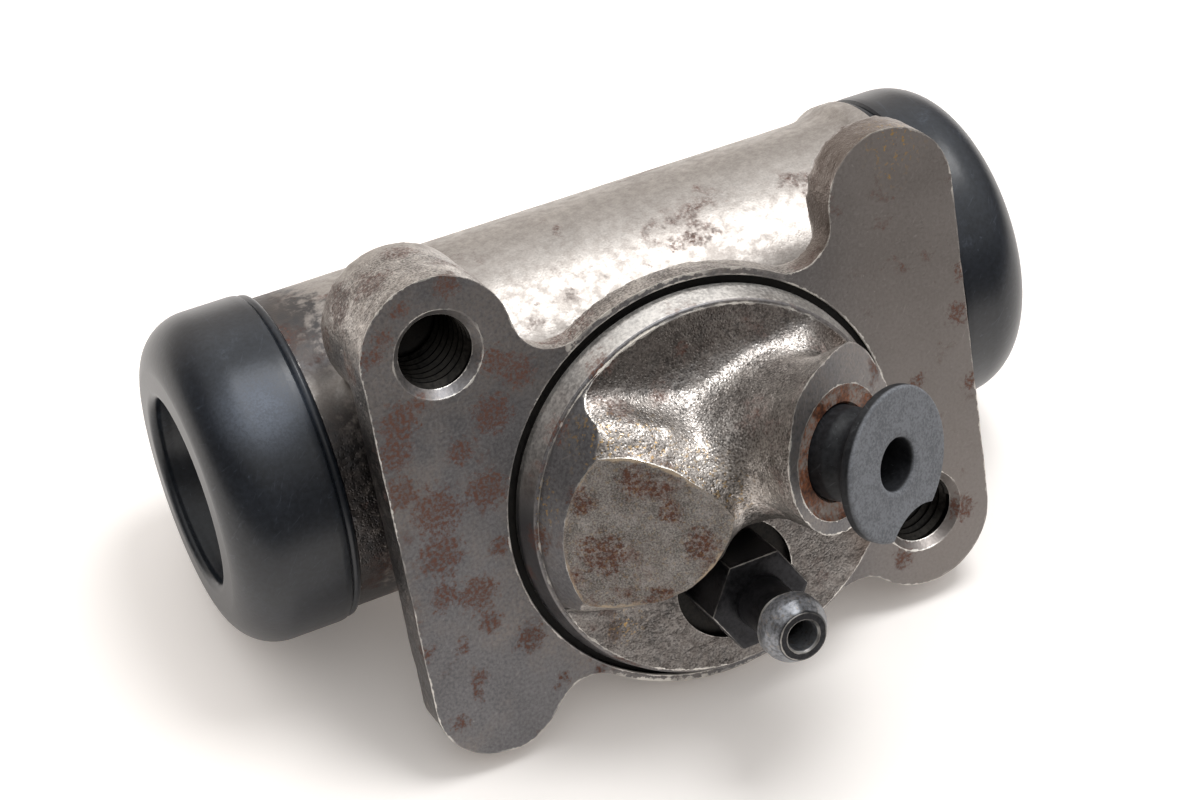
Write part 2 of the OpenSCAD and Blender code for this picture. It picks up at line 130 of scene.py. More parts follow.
CAST_RUST = (
    (-14.0, 2.0, 23.4, 3.4), (-11.0, 2.0, 24.6, 3.0), (-17.4, -9.0, 0.2, 4.2), (-12.6, -11.2, 8.6, 3.2),
    (-9.8, -12.5, 4.1, 2.2), (-7.6, -13.5, -0.3, 3.0), (-18.6, -8.4, 7.2, 2.6), (-12.4, -11.2, -6.4, 2.8),
    (-11.6, -6.0, 14.2, 3.4), (-4.6, -6.0, 8.6, 2.6), (-1.8, -3.8, 18.9, 1.5), (-11.9, -3.6, 20.5, 3.0),
    (-18.6, -3.6, 14.6, 2.6), (-22.4, -3.4, 2.1, 2.6), (-33.0, 6.0, 34.2, 3.6), (-36.6, 9.0, 31.4, 3.4),
    (-37.6, 4.0, 26.0, 3.0), (-28.0, 10.0, 35.0, 3.0), (-38.0, 12.0, 27.0, 3.0),
)
RUST_SPOTS = [(x, 0, z, radius) for x, z, radius in FACE_RUST] + list(CAST_RUST)

# Grit left on the casting: the place and radius of each patch
GRIT_SPOTS = (
    (30.4, 0, 33.9, 5.0), (29.5, 0, 29.5, 1.9), (-21.5, -3.5, 6.5, 4.0), (-14.5, -3.8, -12.5, 3.0),
    (-15.0, -8.6, 13.6, 5.5), (-10.0, -10.6, 12.2, 5.5), (-6.0, -12.6, 8.4, 5.0), (-3.4, -14.0, 4.4, 4.5),
)

# A pale spot on the left boot: a rub, and a painted highlight
BOOT_SCUFF_AND_HIGHLIGHT = (-46.0, 14.0, 20.8)

# Fixed colours: the tan of grit, then the dark and light tone of each plain surface
GRIT = (0.46, 0.3, 0.12)
# Painted shade: the holes, the bore, the relief groove and the tapped threads are near black, as their
# insides lie in shade
HOLE_SHADE_TONES = (0.006, 0.006, 0.006), (0.03, 0.027, 0.024)
GROOVE_SHADE_TONES = (0.004, 0.004, 0.004), (0.016, 0.014, 0.012)
THREAD_SHADE_TONES = (0.008, 0.0075, 0.007), (0.035, 0.032, 0.028)
BLACK_TONES = (0.012, 0.012, 0.014), (0.035, 0.035, 0.04)
PISTON_TONES = (0.4, 0.4, 0.41), (0.66, 0.66, 0.67)
EXPANDER_TONES = (0.36, 0.32, 0.2), (0.6, 0.55, 0.4)
SPRING_TONES = (0.3, 0.3, 0.31), (0.52, 0.52, 0.54)
CUP_TONES = (0.012, 0.012, 0.014), (0.1, 0.1, 0.11)


# Places


def along_cylinder():
    """Turns +Z onto the bore's axis, towards +X."""
    return Matrix.Translation((0, AXIS_BACK * MM, AXIS_UP * MM)) @ Matrix.Rotation(math.pi / 2, 4, "Y")


def out_of_face(x, z, lean=0.0):
    """Turns +Z out of the mounting face at a place on it, leaning sideways by an angle."""
    turn = Matrix.Rotation(math.radians(lean), 4, "Z") @ Matrix.Rotation(math.pi / 2, 4, "X")
    return Matrix.Translation((x * MM, 0, z * MM)) @ turn


def mirrored(place):
    return Matrix.Diagonal((-1, 1, 1, 1)) @ place


# Meshes


def stepped(profile, step, lip=0.24):
    """Splits the straight stretches of a half section, with one short step beside each end."""
    made = []
    for (r0, h0), (r1, h1) in zip(profile, profile[1:]):
        length = math.hypot(r1 - r0, h1 - h0)
        count = max(1, math.ceil(length / step))
        marks = {i / count for i in range(count)}
        if length > 3 * lip:
            marks |= {lip / length, 1 - lip / length}
        made += [(r0 + (r1 - r0) * t, h0 + (h1 - h0) * t) for t in sorted(marks)]
    return made + [profile[-1]]


def corner(r, h, radius, start, end, count=6):
    """Points of a rounded corner in a half section, from one angle to another in degrees."""
    angles = [math.radians(start + (end - start) * i / count) for i in range(count + 1)]
    return [(r + radius * math.cos(a), h + radius * math.sin(a)) for a in angles]


def lathe(profile, place, steps=128, ring=False):
    """Spins a half section of (radius, height) points in millimetres about its height axis."""
    bm = bmesh.new()
    verts = [bm.verts.new((r * MM, 0, h * MM)) for r, h in profile]
    pairs = list(zip(verts, verts[1:])) + ([(verts[-1], verts[0])] if ring else [])
    edges = [bm.edges.new(pair) for pair in pairs]
    bmesh.ops.spin(
        bm, geom=verts + edges, cent=(0, 0, 0), axis=(0, 0, 1), angle=2 * math.pi, steps=steps, use_merge=True
    )
    bmesh.ops.remove_doubles(bm, verts=bm.verts, dist=1e-6)
    bmesh.ops.dissolve_degenerate(bm, edges=bm.edges, dist=1e-7)
    bm.transform(place)
    bmesh.ops.recalc_face_normals(bm, faces=bm.faces)
    return bm


def add_rod(bm, place, low, high, r_low, r_high):
    """Adds a closed round bar or cone between two heights."""
    middle = Matrix.Translation((0, 0, (low + high) / 2 * MM))
    bmesh.ops.create_cone(
        bm, cap_ends=True, segments=96, radius1=r_low * MM, radius2=r_high * MM,
        depth=(high - low) * MM, matrix=place @ middle,
    )


def add_flange_slice(bm, cut_y, front_y, back_y, least_area):
    """Adds the flange outline of the solid, cut at one depth, as a plate between two depths."""
    part = bmesh.new()
    part.from_mesh(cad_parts["cylinder_body"].data)
    bmesh.ops.remove_doubles(part, verts=part.verts, dist=1e-6)
    bmesh.ops.bisect_plane(
        part, geom=part.verts[:] + part.edges[:] + part.faces[:], plane_co=(0, cut_y * MM, 0),
        plane_no=(0, 1, 0), clear_inner=True, clear_outer=True,
    )
    bmesh.ops.remove_doubles(part, verts=part.verts, dist=1e-5)
    bmesh.ops.edgeloop_fill(part, edges=part.edges)
    small = [f for f in part.faces if f.calc_area() < least_area * MM * MM]
    bmesh.ops.delete(part, geom=small, context="FACES")
    loose = [v for v in part.verts if not v.link_faces]
    bmesh.ops.delete(part, geom=loose, context="VERTS")
    for v in part.verts:
        v.co.y = front_y * MM
    grown = bmesh.ops.extrude_face_region(part, geom=part.faces[:], use_keep_orig=True)
    lifted = [v for v in grown["geom"] if isinstance(v, bmesh.types.BMVert)]
    bmesh.ops.translate(part, verts=lifted, vec=(0, (back_y - front_y) * MM, 0))
    bmesh.ops.recalc_face_normals(part, faces=part.faces)
    join(bm, part)


def join(bm, other):
    """Adds one bmesh to another."""
    mesh = bpy.data.meshes.new("joined")
    other.to_mesh(mesh)
    other.free()
    bm.from_mesh(mesh)
    bpy.data.meshes.remove(mesh)


def new_object(name, bm, materials=(), smooth=True):
    """Makes an object of a bmesh, with smooth shading broken at its sharp edges."""
    mesh = bpy.data.meshes.new(name)
    bm.to_mesh(mesh)
    bm.free()
    for material in materials:
        mesh.materials.append(material)
    obj = bpy.data.objects.new(name, mesh)
    bpy.context.scene.collection.objects.link(obj)
    if smooth:
        shade(mesh)
    return obj


def shade(mesh, angle=32):
    mesh.polygons.foreach_set("use_smooth", [True] * len(mesh.polygons))
    mesh.set_sharp_from_angle(angle=math.radians(angle))


def settled(obj):
    """The object's mesh with its modifiers applied, as a new mesh."""
    bpy.context.view_layer.update()
    graph = bpy.context.evaluated_depsgraph_get()
    return bpy.data.meshes.new_from_object(obj.evaluated_get(graph))


def dress(obj, body, slot, *nodes):
    """Puts a finished piece on its body, in place of the solids it stands for; its slot is not used."""
    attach(obj, body)
    if nodes:
        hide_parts(*nodes)


def cut_with(obj, cutters):
    """Cuts tools out of an object; uses up the object and the tools, and returns the cut mesh."""
    for cutter in cutters:
        cut = obj.modifiers.new(cutter.name, "BOOLEAN")
        cut.operation, cut.solver, cut.object = "DIFFERENCE", "MANIFOLD", cutter
    bm = bmesh.new()
    bm.from_mesh(settled(obj))
    for used in (*cutters, obj):
        bpy.data.objects.remove(used)
    return bm


def points(mesh):
    """The places of a mesh's points, as an array."""
    flat = np.empty(len(mesh.vertices) * 3)
    mesh.vertices.foreach_get("co", flat)
    return flat.reshape(-1, 3)


def normals(mesh):
    """The normals of a mesh's points, as an array."""
    flat = np.empty(len(mesh.vertices) * 3, np.float32)
    mesh.vertex_normals.foreach_get("vector", flat)
    return flat.reshape(-1, 3)


# Node groups and materials


def add(tree, kind, inputs=None, **settings):
    """Adds a node, sets it, and links or fills its inputs."""
    made = tree.nodes.new(kind)
    for name, value in settings.items():
        setattr(made, name, value)
    for name, value in (inputs or {}).items():
        socket = made.inputs[name]
        if isinstance(value, bpy.types.NodeSocket):
            tree.links.new(value, socket)
        else:
            socket.default_value = value
    return made


def tree_of(*values):
    """The node tree of the first socket among some values."""
    return next(v.id_data for v in values if isinstance(v, bpy.types.NodeSocket))


def math_node(operation, a, b):
    return add(tree_of(a, b), "ShaderNodeMath", {0: a, 1: b}, operation=operation).outputs[0]


def times(a, b):
    return math_node("MULTIPLY", a, b)


def plus(a, b):
    return math_node("ADD", a, b)


def larger(a, b):
    return math_node("MAXIMUM", a, b)


def less(a, b):
    return math_node("SUBTRACT", a, b)


def over(a, b):
    return math_node("DIVIDE", a, b)


def dot(vector, direction):
    """How far a vector reaches along a direction."""
    values = {0: vector, 1: tuple(direction)}
    return add(vector.id_data, "ShaderNodeVectorMath", values, operation="DOT_PRODUCT").outputs["Value"]


def mapped(value, low, high, to_low=0.0, to_high=1.0):
    """Maps a value smoothly from one range to another."""
    made = add(
        value.id_data, "ShaderNodeMapRange",
        {"Value": value, "From Min": low, "From Max": high, "To Min": to_low, "To Max": to_high},
        interpolation_type="SMOOTHSTEP",
    )
    return made.outputs["Result"]


def opaque(colour):
    """A colour with full cover; a socket stays as it is."""
    return colour if isinstance(colour, bpy.types.NodeSocket) else (*colour, 1.0)


def mixed(factor, a, b):
    """Mixes two colours."""
    values = {0: factor, 6: opaque(a), 7: opaque(b)}
    tree = tree_of(factor, a, b)
    return add(tree, "ShaderNodeMix", values, data_type="RGBA", clamp_factor=True).outputs[2]


def millimetres(tree):
    """Object coordinates in millimetres."""
    place = add(tree, "ShaderNodeTexCoord").outputs["Object"]
    return add(tree, "ShaderNodeMapping", {"Vector": place, "Scale": (1 / MM,) * 3}).outputs[0]


def axes(tree):
    """The object's x, y and z in millimetres."""
    return add(tree, "ShaderNodeSeparateXYZ", {0: millimetres(tree)}).outputs


def noise_node(vector, scale, detail=4.0, rough=0.55, distortion=0.0):
    return add(
        vector.id_data, "ShaderNodeTexNoise",
        {"Vector": vector, "Scale": scale, "Detail": detail, "Roughness": rough, "Distortion": distortion},
    ).outputs["Fac"]


def new_group(name, inputs, outputs):
    """An empty shader node group of plain values; returns its tree and its input and output nodes."""
    tree = bpy.data.node_groups.new(name, "ShaderNodeTree")
    for socket, value in inputs.items():
        made = tree.interface.new_socket(socket, in_out="INPUT", socket_type="NodeSocketFloat")
        made.default_value = value
    for socket in outputs:
        tree.interface.new_socket(socket, in_out="OUTPUT", socket_type="NodeSocketFloat")
    return tree, tree.nodes.new("NodeGroupInput"), tree.nodes.new("NodeGroupOutput")


def finish_group(tree, end, **results):
    for name, socket in results.items():
        tree.links.new(socket, end.inputs[name])
    return tree


def cast_grain_group():
    """Sand grain of a casting: a height for its relief and a tone for its colour."""
    tree, start, end = new_group("Cast grain", {"Grain": 1.0, "Blotch": 6.0}, ("Height", "Tone"))
    place = millimetres(tree)
    fine = noise_node(place, over(1.0, start.outputs["Grain"]), 5.0, 0.6)
    pits = add(
        tree, "ShaderNodeTexVoronoi",
        {"Vector": place, "Scale": over(0.8, start.outputs["Grain"]), "Randomness": 1.0},
    ).outputs["Distance"]
    broad = noise_node(place, over(1.0, start.outputs["Blotch"]), 4.0, 0.6, 0.4)
    bowl = mapped(pits, 0.05, 0.55)
    height = plus(times(fine, 0.5), times(bowl, 0.5))
    tone = plus(times(fine, 0.65), times(broad, 0.35))
    return finish_group(tree, end, Height=height, Tone=mapped(tone, 0.35, 0.65))


def rust_bloom_group():
    """Soft blotches of rust with ragged borders, round marked spots and at random."""
    inputs = {"Size": 8.0, "Amount": 0.3, "Spots": 0.0}
    tree, start, end = new_group("Rust bloom", inputs, ("Mask", "Depth"))
    place = millimetres(tree)
    broad = noise_node(place, over(1.0, start.outputs["Size"]), 2.0, 0.5, 0.3)
    ragged = noise_node(place, over(5.0, start.outputs["Size"]), 7.0, 0.7)
    fine = noise_node(place, 2.2, 4.0, 0.65)
    both = plus(times(broad, 0.66), times(ragged, 0.34))
    level = less(0.78, times(start.outputs["Amount"], 0.5))
    loose = mapped(less(both, level), -0.03, 0.08)
    torn = plus(times(ragged, 1.9), times(fine, 0.9))
    shaken = less(torn, 1.4)
    marked = mapped(plus(start.outputs["Spots"], shaken), 0.2, 0.62)
    spotted = times(marked, mapped(start.outputs["Spots"], 0.0, 0.2))
    mask = times(larger(loose, spotted), mapped(fine, 0.38, 0.58, 0.25, 1.0))
    return finish_group(tree, end, Mask=mask, Depth=mapped(fine, 0.35, 0.65))


def edge_wear_group():
    """Ragged bright wear beside an edge, from the distance to it in millimetres."""
    tree, start, end = new_group("Edge wear", {"Gap": 9.0, "Width": 0.3, "Ragged": 0.8}, ("Mask",))
    place = millimetres(tree)
    nibbled = noise_node(place, 0.9, 5.0, 0.65)
    reach = times(mapped(nibbled, 0.35, 0.72), start.outputs["Ragged"])
    width = plus(times(start.outputs["Width"], 0.35), reach)
    near = over(start.outputs["Gap"], width)
    stretch = mapped(noise_node(place, 0.14, 3.0, 0.55), 0.4, 0.6, 0.12, 1.0)
    return finish_group(tree, end, Mask=times(mapped(near, 1.1, 0.5), stretch))


def scratches_group():
    """Fine crossing scratches and specks on a handled metal face."""
    tree, start, end = new_group("Scratches", {"Length": 4.0, "Amount": 0.5}, ("Mask",))
    marks = None
    for stretch, turn in (((1, 0.12, 9), 0.6), ((8, 0.12, 1), -0.5)):
        place = add(tree, "ShaderNodeTexCoord").outputs["Object"]
        turned = add(tree, "ShaderNodeMapping", {"Vector": place, "Rotation": (0, turn, 0)}).outputs[0]
        scale = [k / MM for k in stretch]
        drawn = add(tree, "ShaderNodeMapping", {"Vector": turned, "Scale": scale}).outputs[0]
        lines = noise_node(drawn, over(1.0, start.outputs["Length"]), 3.0, 0.6)
        lines = mapped(lines, 0.62, 0.78)
        marks = lines if marks is None else larger(marks, lines)
    specks = mapped(noise_node(millimetres(tree), 1.6, 2.0, 0.5), 0.7, 0.78)
    both = larger(marks, specks)
    return finish_group(tree, end, Mask=times(both, start.outputs["Amount"]))


GROUPS = {
    "grain": ("Cast grain", cast_grain_group),
    "rust": ("Rust bloom", rust_bloom_group),
    "wear": ("Edge wear", edge_wear_group),
    "scratch": ("Scratches", scratches_group),
}


def placed(tree, group, **values):
    """Places a shared group in a material with its own values; builds the group at its first use."""
    name, build = GROUPS[group]
    shared = bpy.data.node_groups.get(name) or build()
    return add(tree, "ShaderNodeGroup", values, node_tree=shared).outputs


def new_material(name, **plain):
    """A material with a Principled shader; plain values go on the shader's own sockets."""
    material = bpy.data.materials.new(name)
    material.use_nodes = True
    tree = material.node_tree
    shader = tree.nodes["Principled BSDF"]
    for socket, value in plain.items():
        shader.inputs[socket].default_value = value
    return material, tree, shader


def drive(shader, name, value):
    """Links a value to one of a shader's own sockets."""
    shader.id_data.links.new(value, shader.inputs[name])


def bump(shader, height, distance, strength=0.5):
    values = {"Height": height, "Distance": distance * MM, "Strength": strength}
    drive(shader, "Normal", add(shader.id_data, "ShaderNodeBump", values).outputs[0])


def kept(tree, name):
    """A value that is kept on a piece's mesh: the gap to an edge, or how near a spot is."""
    return add(tree, "ShaderNodeAttribute", attribute_name=name).outputs["Fac"]


def near_place(tree, place, radius):
    """Falls from one at a place to nothing at a radius round it, in millimetres."""
    gap = add(tree, "ShaderNodeVectorMath", {0: millimetres(tree), 1: place}, operation="DISTANCE")
    return mapped(gap.outputs["Value"], radius, 0.0)


def worn(tree, width, ragged):
    """How bare the metal is beside an edge."""
    return placed(tree, "wear", Gap=kept(tree, "edge_gap"), Width=width, Ragged=ragged)["Mask"]


def rusting(tree, size, amount):
    """Rust on the casting, round its marked spots and at random."""
    return placed(tree, "rust", Size=size, Amount=amount, Spots=kept(tree, "rust_spots"))


def speckled(colour, where, grain, amount):
    """Adds fine tan grit to a colour where a mask allows it."""
    specks = mapped(noise_node(millimetres(colour.id_data), grain, 3.0, 0.6), 0.56, 0.64)
    return mixed(times(times(specks, where), amount), colour, GRIT)


def cast_skin_material(s):
    """Sand-cast iron with a grain, brown stains and light rust; the tube behind the flange is smoother.
    Painted shade darkens the pilot's front field and the tube beside the left boot, and the right lobe's side
    is darker and browner.
    """
    material, tree, shader = new_material("cast_skin")
    grain = placed(tree, "grain", Grain=0.28, Blotch=5.0)
    coarse = placed(tree, "grain", Grain=1.2, Blotch=11.0)
    rust = rusting(tree, 8.0, 0.4)
    wear = worn(tree, 0.05, 0.3)
    side, back, up = axes(tree)
    tube = mapped(back, 9.0, 13.0)
    base = mixed(grain["Tone"], s.iron_dark, s.iron_light)
    # Painted shade: the skin of the pilot's front field is darkened, as it faces away from the light
    field = times(mapped(back, -5.4, -4.2), mapped(back, -1.0, -3.0))
    base = mixed(times(field, 0.6), base, s.field)
    lighter = mixed(times(tube, 0.8), base, s.tube)
    # Painted shade: the tube's skin beside the left boot, low down and behind the upper boss, is darkened
    # where that boss shades it
    low = larger(mapped(up, 22.0, 16.0), mapped(back, 14.0, 17.0))
    uneven = plus(side, times(coarse["Tone"], 5.0))
    left = times(mapped(uneven, -30.0, -35.0), low)
    # Darker and browner on the side of the right lobe, beside the tube
    right = times(mapped(side, 14.0, 18.0), mapped(back, 9.0, 6.0))
    left_shaded = mixed(times(left, 0.92), lighter, s.left_shade)
    right_darkened = mixed(times(right, 0.85), left_shaded, s.stain)
    stained = mixed(times(coarse["Tone"], 0.35), right_darkened, s.stain)
    tint = mixed(grain["Tone"], s.rust_deep, s.rust)
    cover = times(rust["Mask"], mapped(coarse["Tone"], 0, 1, 0.9, 0.5))
    rusted = mixed(cover, stained, tint)
    gritty = speckled(rusted, kept(tree, "grit_spots"), 2.2, 1.0)
    colour = mixed(wear, gritty, s.bright)
    drive(shader, "Base Color", colour)
    drive(shader, "Metallic", mapped(rust["Mask"], 0, 1, 0.92, 0.35))
    rough = plus(mapped(coarse["Tone"], 0, 1, 0.3, 0.42), times(rust["Mask"], 0.25))
    rough = plus(rough, times(tube, 0.12))
    drive(shader, "Roughness", rough)
    height = plus(grain["Height"], times(coarse["Height"], 1.6))
    relief = times(height, mapped(tube, 0, 1, 1.0, 0.25))
    bump(shader, relief, 0.12, 0.55)
    return material


def faced_material(s):
    """Machined mounting face: dark steel grey with rust spots, scratches and chipped edges."""
    material, tree, shader = new_material("machined_face")
    grain = placed(tree, "grain", Grain=0.4, Blotch=12.0)
    rust = rusting(tree, 5.0, 0.34)
    haze = placed(tree, "rust", Size=20.0, Amount=0.62)
    scratch = placed(tree, "scratch", Length=3.0, Amount=0.14)
    wear = worn(tree, 0.05, 0.32)
    base = mixed(grain["Tone"], s.face_dark, s.face_light)
    right = mapped(axes(tree)["X"], 6.0, 28.0)
    brown = larger(times(haze["Mask"], 0.5), times(right, 0.6))
    hazed = mixed(brown, base, s.face_brown)
    scratched = mixed(scratch["Mask"], hazed, s.bright)
    tint = mixed(rust["Depth"], s.rust_deep, s.rust)
    rusted = mixed(times(rust["Mask"], 0.9), scratched, tint)
    gritty = speckled(rusted, kept(tree, "grit_spots"), 1.7, 1.4)
    colour = mixed(wear, gritty, s.bright)
    drive(shader, "Base Color", colour)
    drive(shader, "Metallic", mapped(rust["Mask"], 0, 1, 0.8, 0.2))
    rough = plus(mapped(grain["Tone"], 0, 1, 0.42, 0.52), times(rust["Mask"], 0.2))
    drive(shader, "Roughness", rough)
    bump(shader, grain["Height"], 0.03, 0.6)
    return material


def turned_material(s):
    """Turned rings: smooth grey with blotches of rust; painted shade darkens them low down, and a painted
    highlight lightens their tops.
    """
    material, tree, shader = new_material("turned_ring")
    grain = placed(tree, "grain", Grain=0.4, Blotch=4.0)
    rust = rusting(tree, 5.0, 0.4)
    wear = worn(tree, 0.03, 0.2)
    up = axes(tree)["Z"]
    shine = mixed(grain["Tone"], s.turned_dark, s.turned_light)
    # Painted shade and highlight: low down the rings take the face's dark tone, and higher up the light ring
    # tones stand in for their bright reflection
    base = mixed(mapped(up, 3.0, 15.0), s.face_dark, shine)
    rusted = mixed(times(rust["Mask"], 0.7), base, s.rust)
    colour = mixed(wear, rusted, s.bright)
    drive(shader, "Base Color", colour)
    drive(shader, "Metallic", mapped(rust["Mask"], 0, 1, 0.85, 0.35))
    drive(shader, "Roughness", mapped(grain["Tone"], 0, 1, 0.3, 0.44))
    bump(shader, grain["Height"], 0.02, 0.6)
    return material


def pad_material(s):
    """Cast end of the blind boss: speckled grey and brown with rust, and a tan rim that is a painted
    highlight.
    """
    material, tree, shader = new_material("boss_end")
    grain = placed(tree, "grain", Grain=0.2, Blotch=3.0)
    coarse = placed(tree, "grain", Grain=1.1, Blotch=5.0)
    rust = rusting(tree, 6.0, 0.46)
    wear = worn(tree, 0.5, 0.5)
    base = mixed(grain["Tone"], s.iron_dark, s.pad)
    browned = mixed(times(coarse["Tone"], 0.3), base, s.stain)
    tint = mixed(grain["Tone"], s.rust_deep, s.rust)
    rusted = mixed(rust["Mask"], browned, tint)
    gritty = speckled(rusted, 1.0, 2.4, 0.2)
    # Painted highlight: the tan rim round the boss's end stands in for the light on its rounded edge
    drive(shader, "Base Color", mixed(times(wear, 0.7), gritty, s.tan))
    drive(shader, "Metallic", mapped(rust["Mask"], 0, 1, 0.7, 0.2))
    drive(shader, "Roughness", mapped(grain["Tone"], 0, 1, 0.5, 0.65))
    height = plus(grain["Height"], coarse["Height"])
    bump(shader, height, 0.1, 0.7)
    return material


def seat_material(s):
    """Rusted seat round the inlet port."""
    material, tree, shader = new_material("rusted_seat", **{"Metallic": 0.3})
    grain = placed(tree, "grain", Grain=0.5, Blotch=3.0)
    rust = placed(tree, "rust", Size=3.0, Amount=0.62)
    tint = mixed(grain["Tone"], s.rust_deep, s.rust_fresh)
    drive(shader, "Base Color", mixed(rust["Mask"], tint, s.face_brown))
    drive(shader, "Roughness", mapped(grain["Tone"], 0, 1, 0.5, 0.7))
    bump(shader, grain["Height"], 0.05, 0.6)
    return material


def rubber_material(name, dark, pale, scuff_amount, rough, dust_scuff_and_highlight=None, shine=0.5):
    """Moulded rubber with a faint skin texture and pale scuffs, paler where a mask says so: dust on the plug,
    and a scuff with a painted highlight on the left boot.
    """
    material, tree, shader = new_material(name, **{"Specular IOR Level": shine})
    grain = placed(tree, "grain", Grain=0.6, Blotch=9.0)
    scuff = placed(tree, "rust", Size=9.0, Amount=scuff_amount)
    scratch = placed(tree, "scratch", Length=2.5, Amount=0.16)
    base = mixed(times(grain["Tone"], 0.06), dark, pale)
    rubbed = times(times(scuff["Mask"], scuff["Depth"]), 0.2)
    marks = larger(rubbed, scratch["Mask"])
    if dust_scuff_and_highlight:
        fine = placed(tree, "grain", Grain=0.3, Blotch=2.0)
        dust = times(dust_scuff_and_highlight(tree), mapped(fine["Tone"], 0.0, 0.9, 0.6, 1.0))
        marks = larger(marks, dust)
    drive(shader, "Base Color", mixed(marks, base, pale))
    drive(shader, "Roughness", mapped(marks, 0, 0.6, rough, rough + 0.22))
    bump(shader, grain["Height"], 0.015)
    return material


def black_metal_material(s):
    """Black coated steel of the bleeder screw, worn on its edges."""
    material, tree, shader = new_material("bleeder_black", **{"Metallic": 0.6})
    grain = placed(tree, "grain", Grain=0.45, Blotch=4.0)
    wear = worn(tree, 0.1, 0.12)
    front = axes(tree)["Y"]
    nose = times(mapped(front, -16.0, -18.0), mapped(front, -21.15, -20.8))
    base = mixed(grain["Tone"], *BLACK_TONES)
    rubbed = mixed(times(nose, mapped(grain["Tone"], 0, 1, 0.25, 0.6)), base, s.worn_black)
    gritty = speckled(rubbed, nose, 1.6, 0.15)
    drive(shader, "Base Color", mixed(times(wear, 0.45), gritty, s.bright))
    drive(shader, "Roughness", mapped(grain["Tone"], 0, 1, 0.28, 0.42))
    bump(shader, grain["Height"], 0.02)
    return material


def toned_material(name, tones, rough, relief=0.03, blotch=3.0, **plain):
    """A surface that wanders between two tones and two roughnesses."""
    material, tree, shader = new_material(name, **plain)
    grain = placed(tree, "grain", Grain=0.5, Blotch=blotch)
    drive(shader, "Base Color", mixed(grain["Tone"], *tones))
    drive(shader, "Roughness", mapped(grain["Tone"], 0, 1, *rough))
    bump(shader, grain["Height"], relief)
    return material


def bare_metal_material(name, tones, rough):
    """Clean metal of the parts inside the bore."""
    return toned_material(name, tones, (rough, rough + 0.15), relief=0.015, blotch=4.0, Metallic=0.9)


# Settings


def colour_setting(name, description, default):
    return FloatVectorProperty(
        name=name, description=description, default=default, subtype="COLOR", min=0, max=1,
    )


def length_setting(name, description, default):
    return FloatProperty(
        name=name, description=description, default=default, min=0, subtype="DISTANCE", precision=5,
    )


class CastingSettings(bpy.types.PropertyGroup):
    """Sizes and colours of the iron casting and the bleeder screw."""

    cell: length_setting("Casting cell", "Size of the cells that the casting is moulded from", 0.00058)
    ripple: length_setting("Skin ripple", "Height of the uneven cast skin", 0.00013)
    iron_dark: colour_setting("Iron, dark", "Dark grains of the cast skin", (0.1, 0.093, 0.088))
    # Painted shade for the skin of the pilot's front field
    field: colour_setting("Field", "Dark skin of the pilot's front", (0.05, 0.05, 0.053))
    iron_light: colour_setting("Iron, light", "Light grains of the cast skin", (0.68, 0.635, 0.595))
    tube: colour_setting("Tube", "Lighter skin of the tube", (0.47, 0.44, 0.412))
    # Painted shade on the tube beside the left boot
    left_shade: colour_setting("Shade", "Dark skin beside the left boot", (0.05, 0.05, 0.054))
    stain: colour_setting("Stain", "Brown stain on the cast skin", (0.17, 0.138, 0.12))
    rust: colour_setting("Rust", "Rust blotches", (0.135, 0.046, 0.024))
    rust_deep: colour_setting("Rust, deep", "Dark middle of rust blotches", (0.05, 0.022, 0.015))
    rust_fresh: colour_setting("Rust, fresh", "Orange rust round the inlet", (0.36, 0.13, 0.055))
    face_dark: colour_setting("Face, dark", "Dark tone of the machined face", (0.13, 0.128, 0.134))
    face_light: colour_setting("Face, light", "Light tone of the machined face", (0.24, 0.235, 0.242))
    face_brown: colour_setting("Face, brown", "Brown haze on the machined face", (0.3, 0.265, 0.24))
    # Ring tones: the rings show them towards their tops as a painted highlight, and the face's dark tone low
    # down as a painted shade
    turned_dark: colour_setting("Ring, dark", "Dark tone of turned rings", (0.5, 0.48, 0.46))
    turned_light: colour_setting("Ring, light", "Light tone of turned rings", (0.86, 0.83, 0.79))
    bright: colour_setting("Bare edge", "Bright metal on worn edges", (0.82, 0.79, 0.74))
    pad: colour_setting("Boss end", "Light grains on the end of the blind boss", (0.44, 0.415, 0.39))
    # Painted highlight on the rim of the blind boss's end
    tan: colour_setting("Tan rim", "Tan rim of the blind boss", (0.6, 0.48, 0.34))
    worn_black: colour_setting("Worn black", "Grey steel where the black coat is thin", (0.52, 0.54, 0.58))


class RubberSettings(bpy.types.PropertyGroup):
    """Colours of the rubber parts."""

    boot_dark: colour_setting("Boot", "Black rubber of the boots", (0.006, 0.0085, 0.013))
    # Pale colour of the boots' scuffs, and of the painted highlight on the left boot
    boot_scuff_and_highlight: colour_setting("Boot scuffs", "Pale scuffs on the boots", (0.15, 0.18, 0.235))
    plug_dark: colour_setting("Plug", "Black rubber of the inlet plug", (0.008, 0.0085, 0.01))
    plug_pale: colour_setting("Plug dust", "Dust on the inlet plug", (0.25, 0.262, 0.285))


class StageSettings(bpy.types.PropertyGroup):
    """The camera and the floor."""

    lens: FloatProperty(name="Lens", description="Focal length in millimetres", default=84.425, min=10)
    floor: colour_setting("Floor", "White of the floor", (0.92, 0.895, 0.87))


# The casting


def add_loft(bm, rings):
    """Adds a closed body drawn through rings of points."""
    part = bmesh.new()
    loops = [[part.verts.new(p) for p in ring] for ring in rings]
    for low, high in zip(loops, loops[1:]):
        for i in range(len(low)):
            part.faces.new((low[i - 1], low[i], high[i], high[i - 1]))
    part.faces.new(loops[0])
    part.faces.new(loops[-1])
    bmesh.ops.recalc_face_normals(part, faces=part.faces)
    join(bm, part)


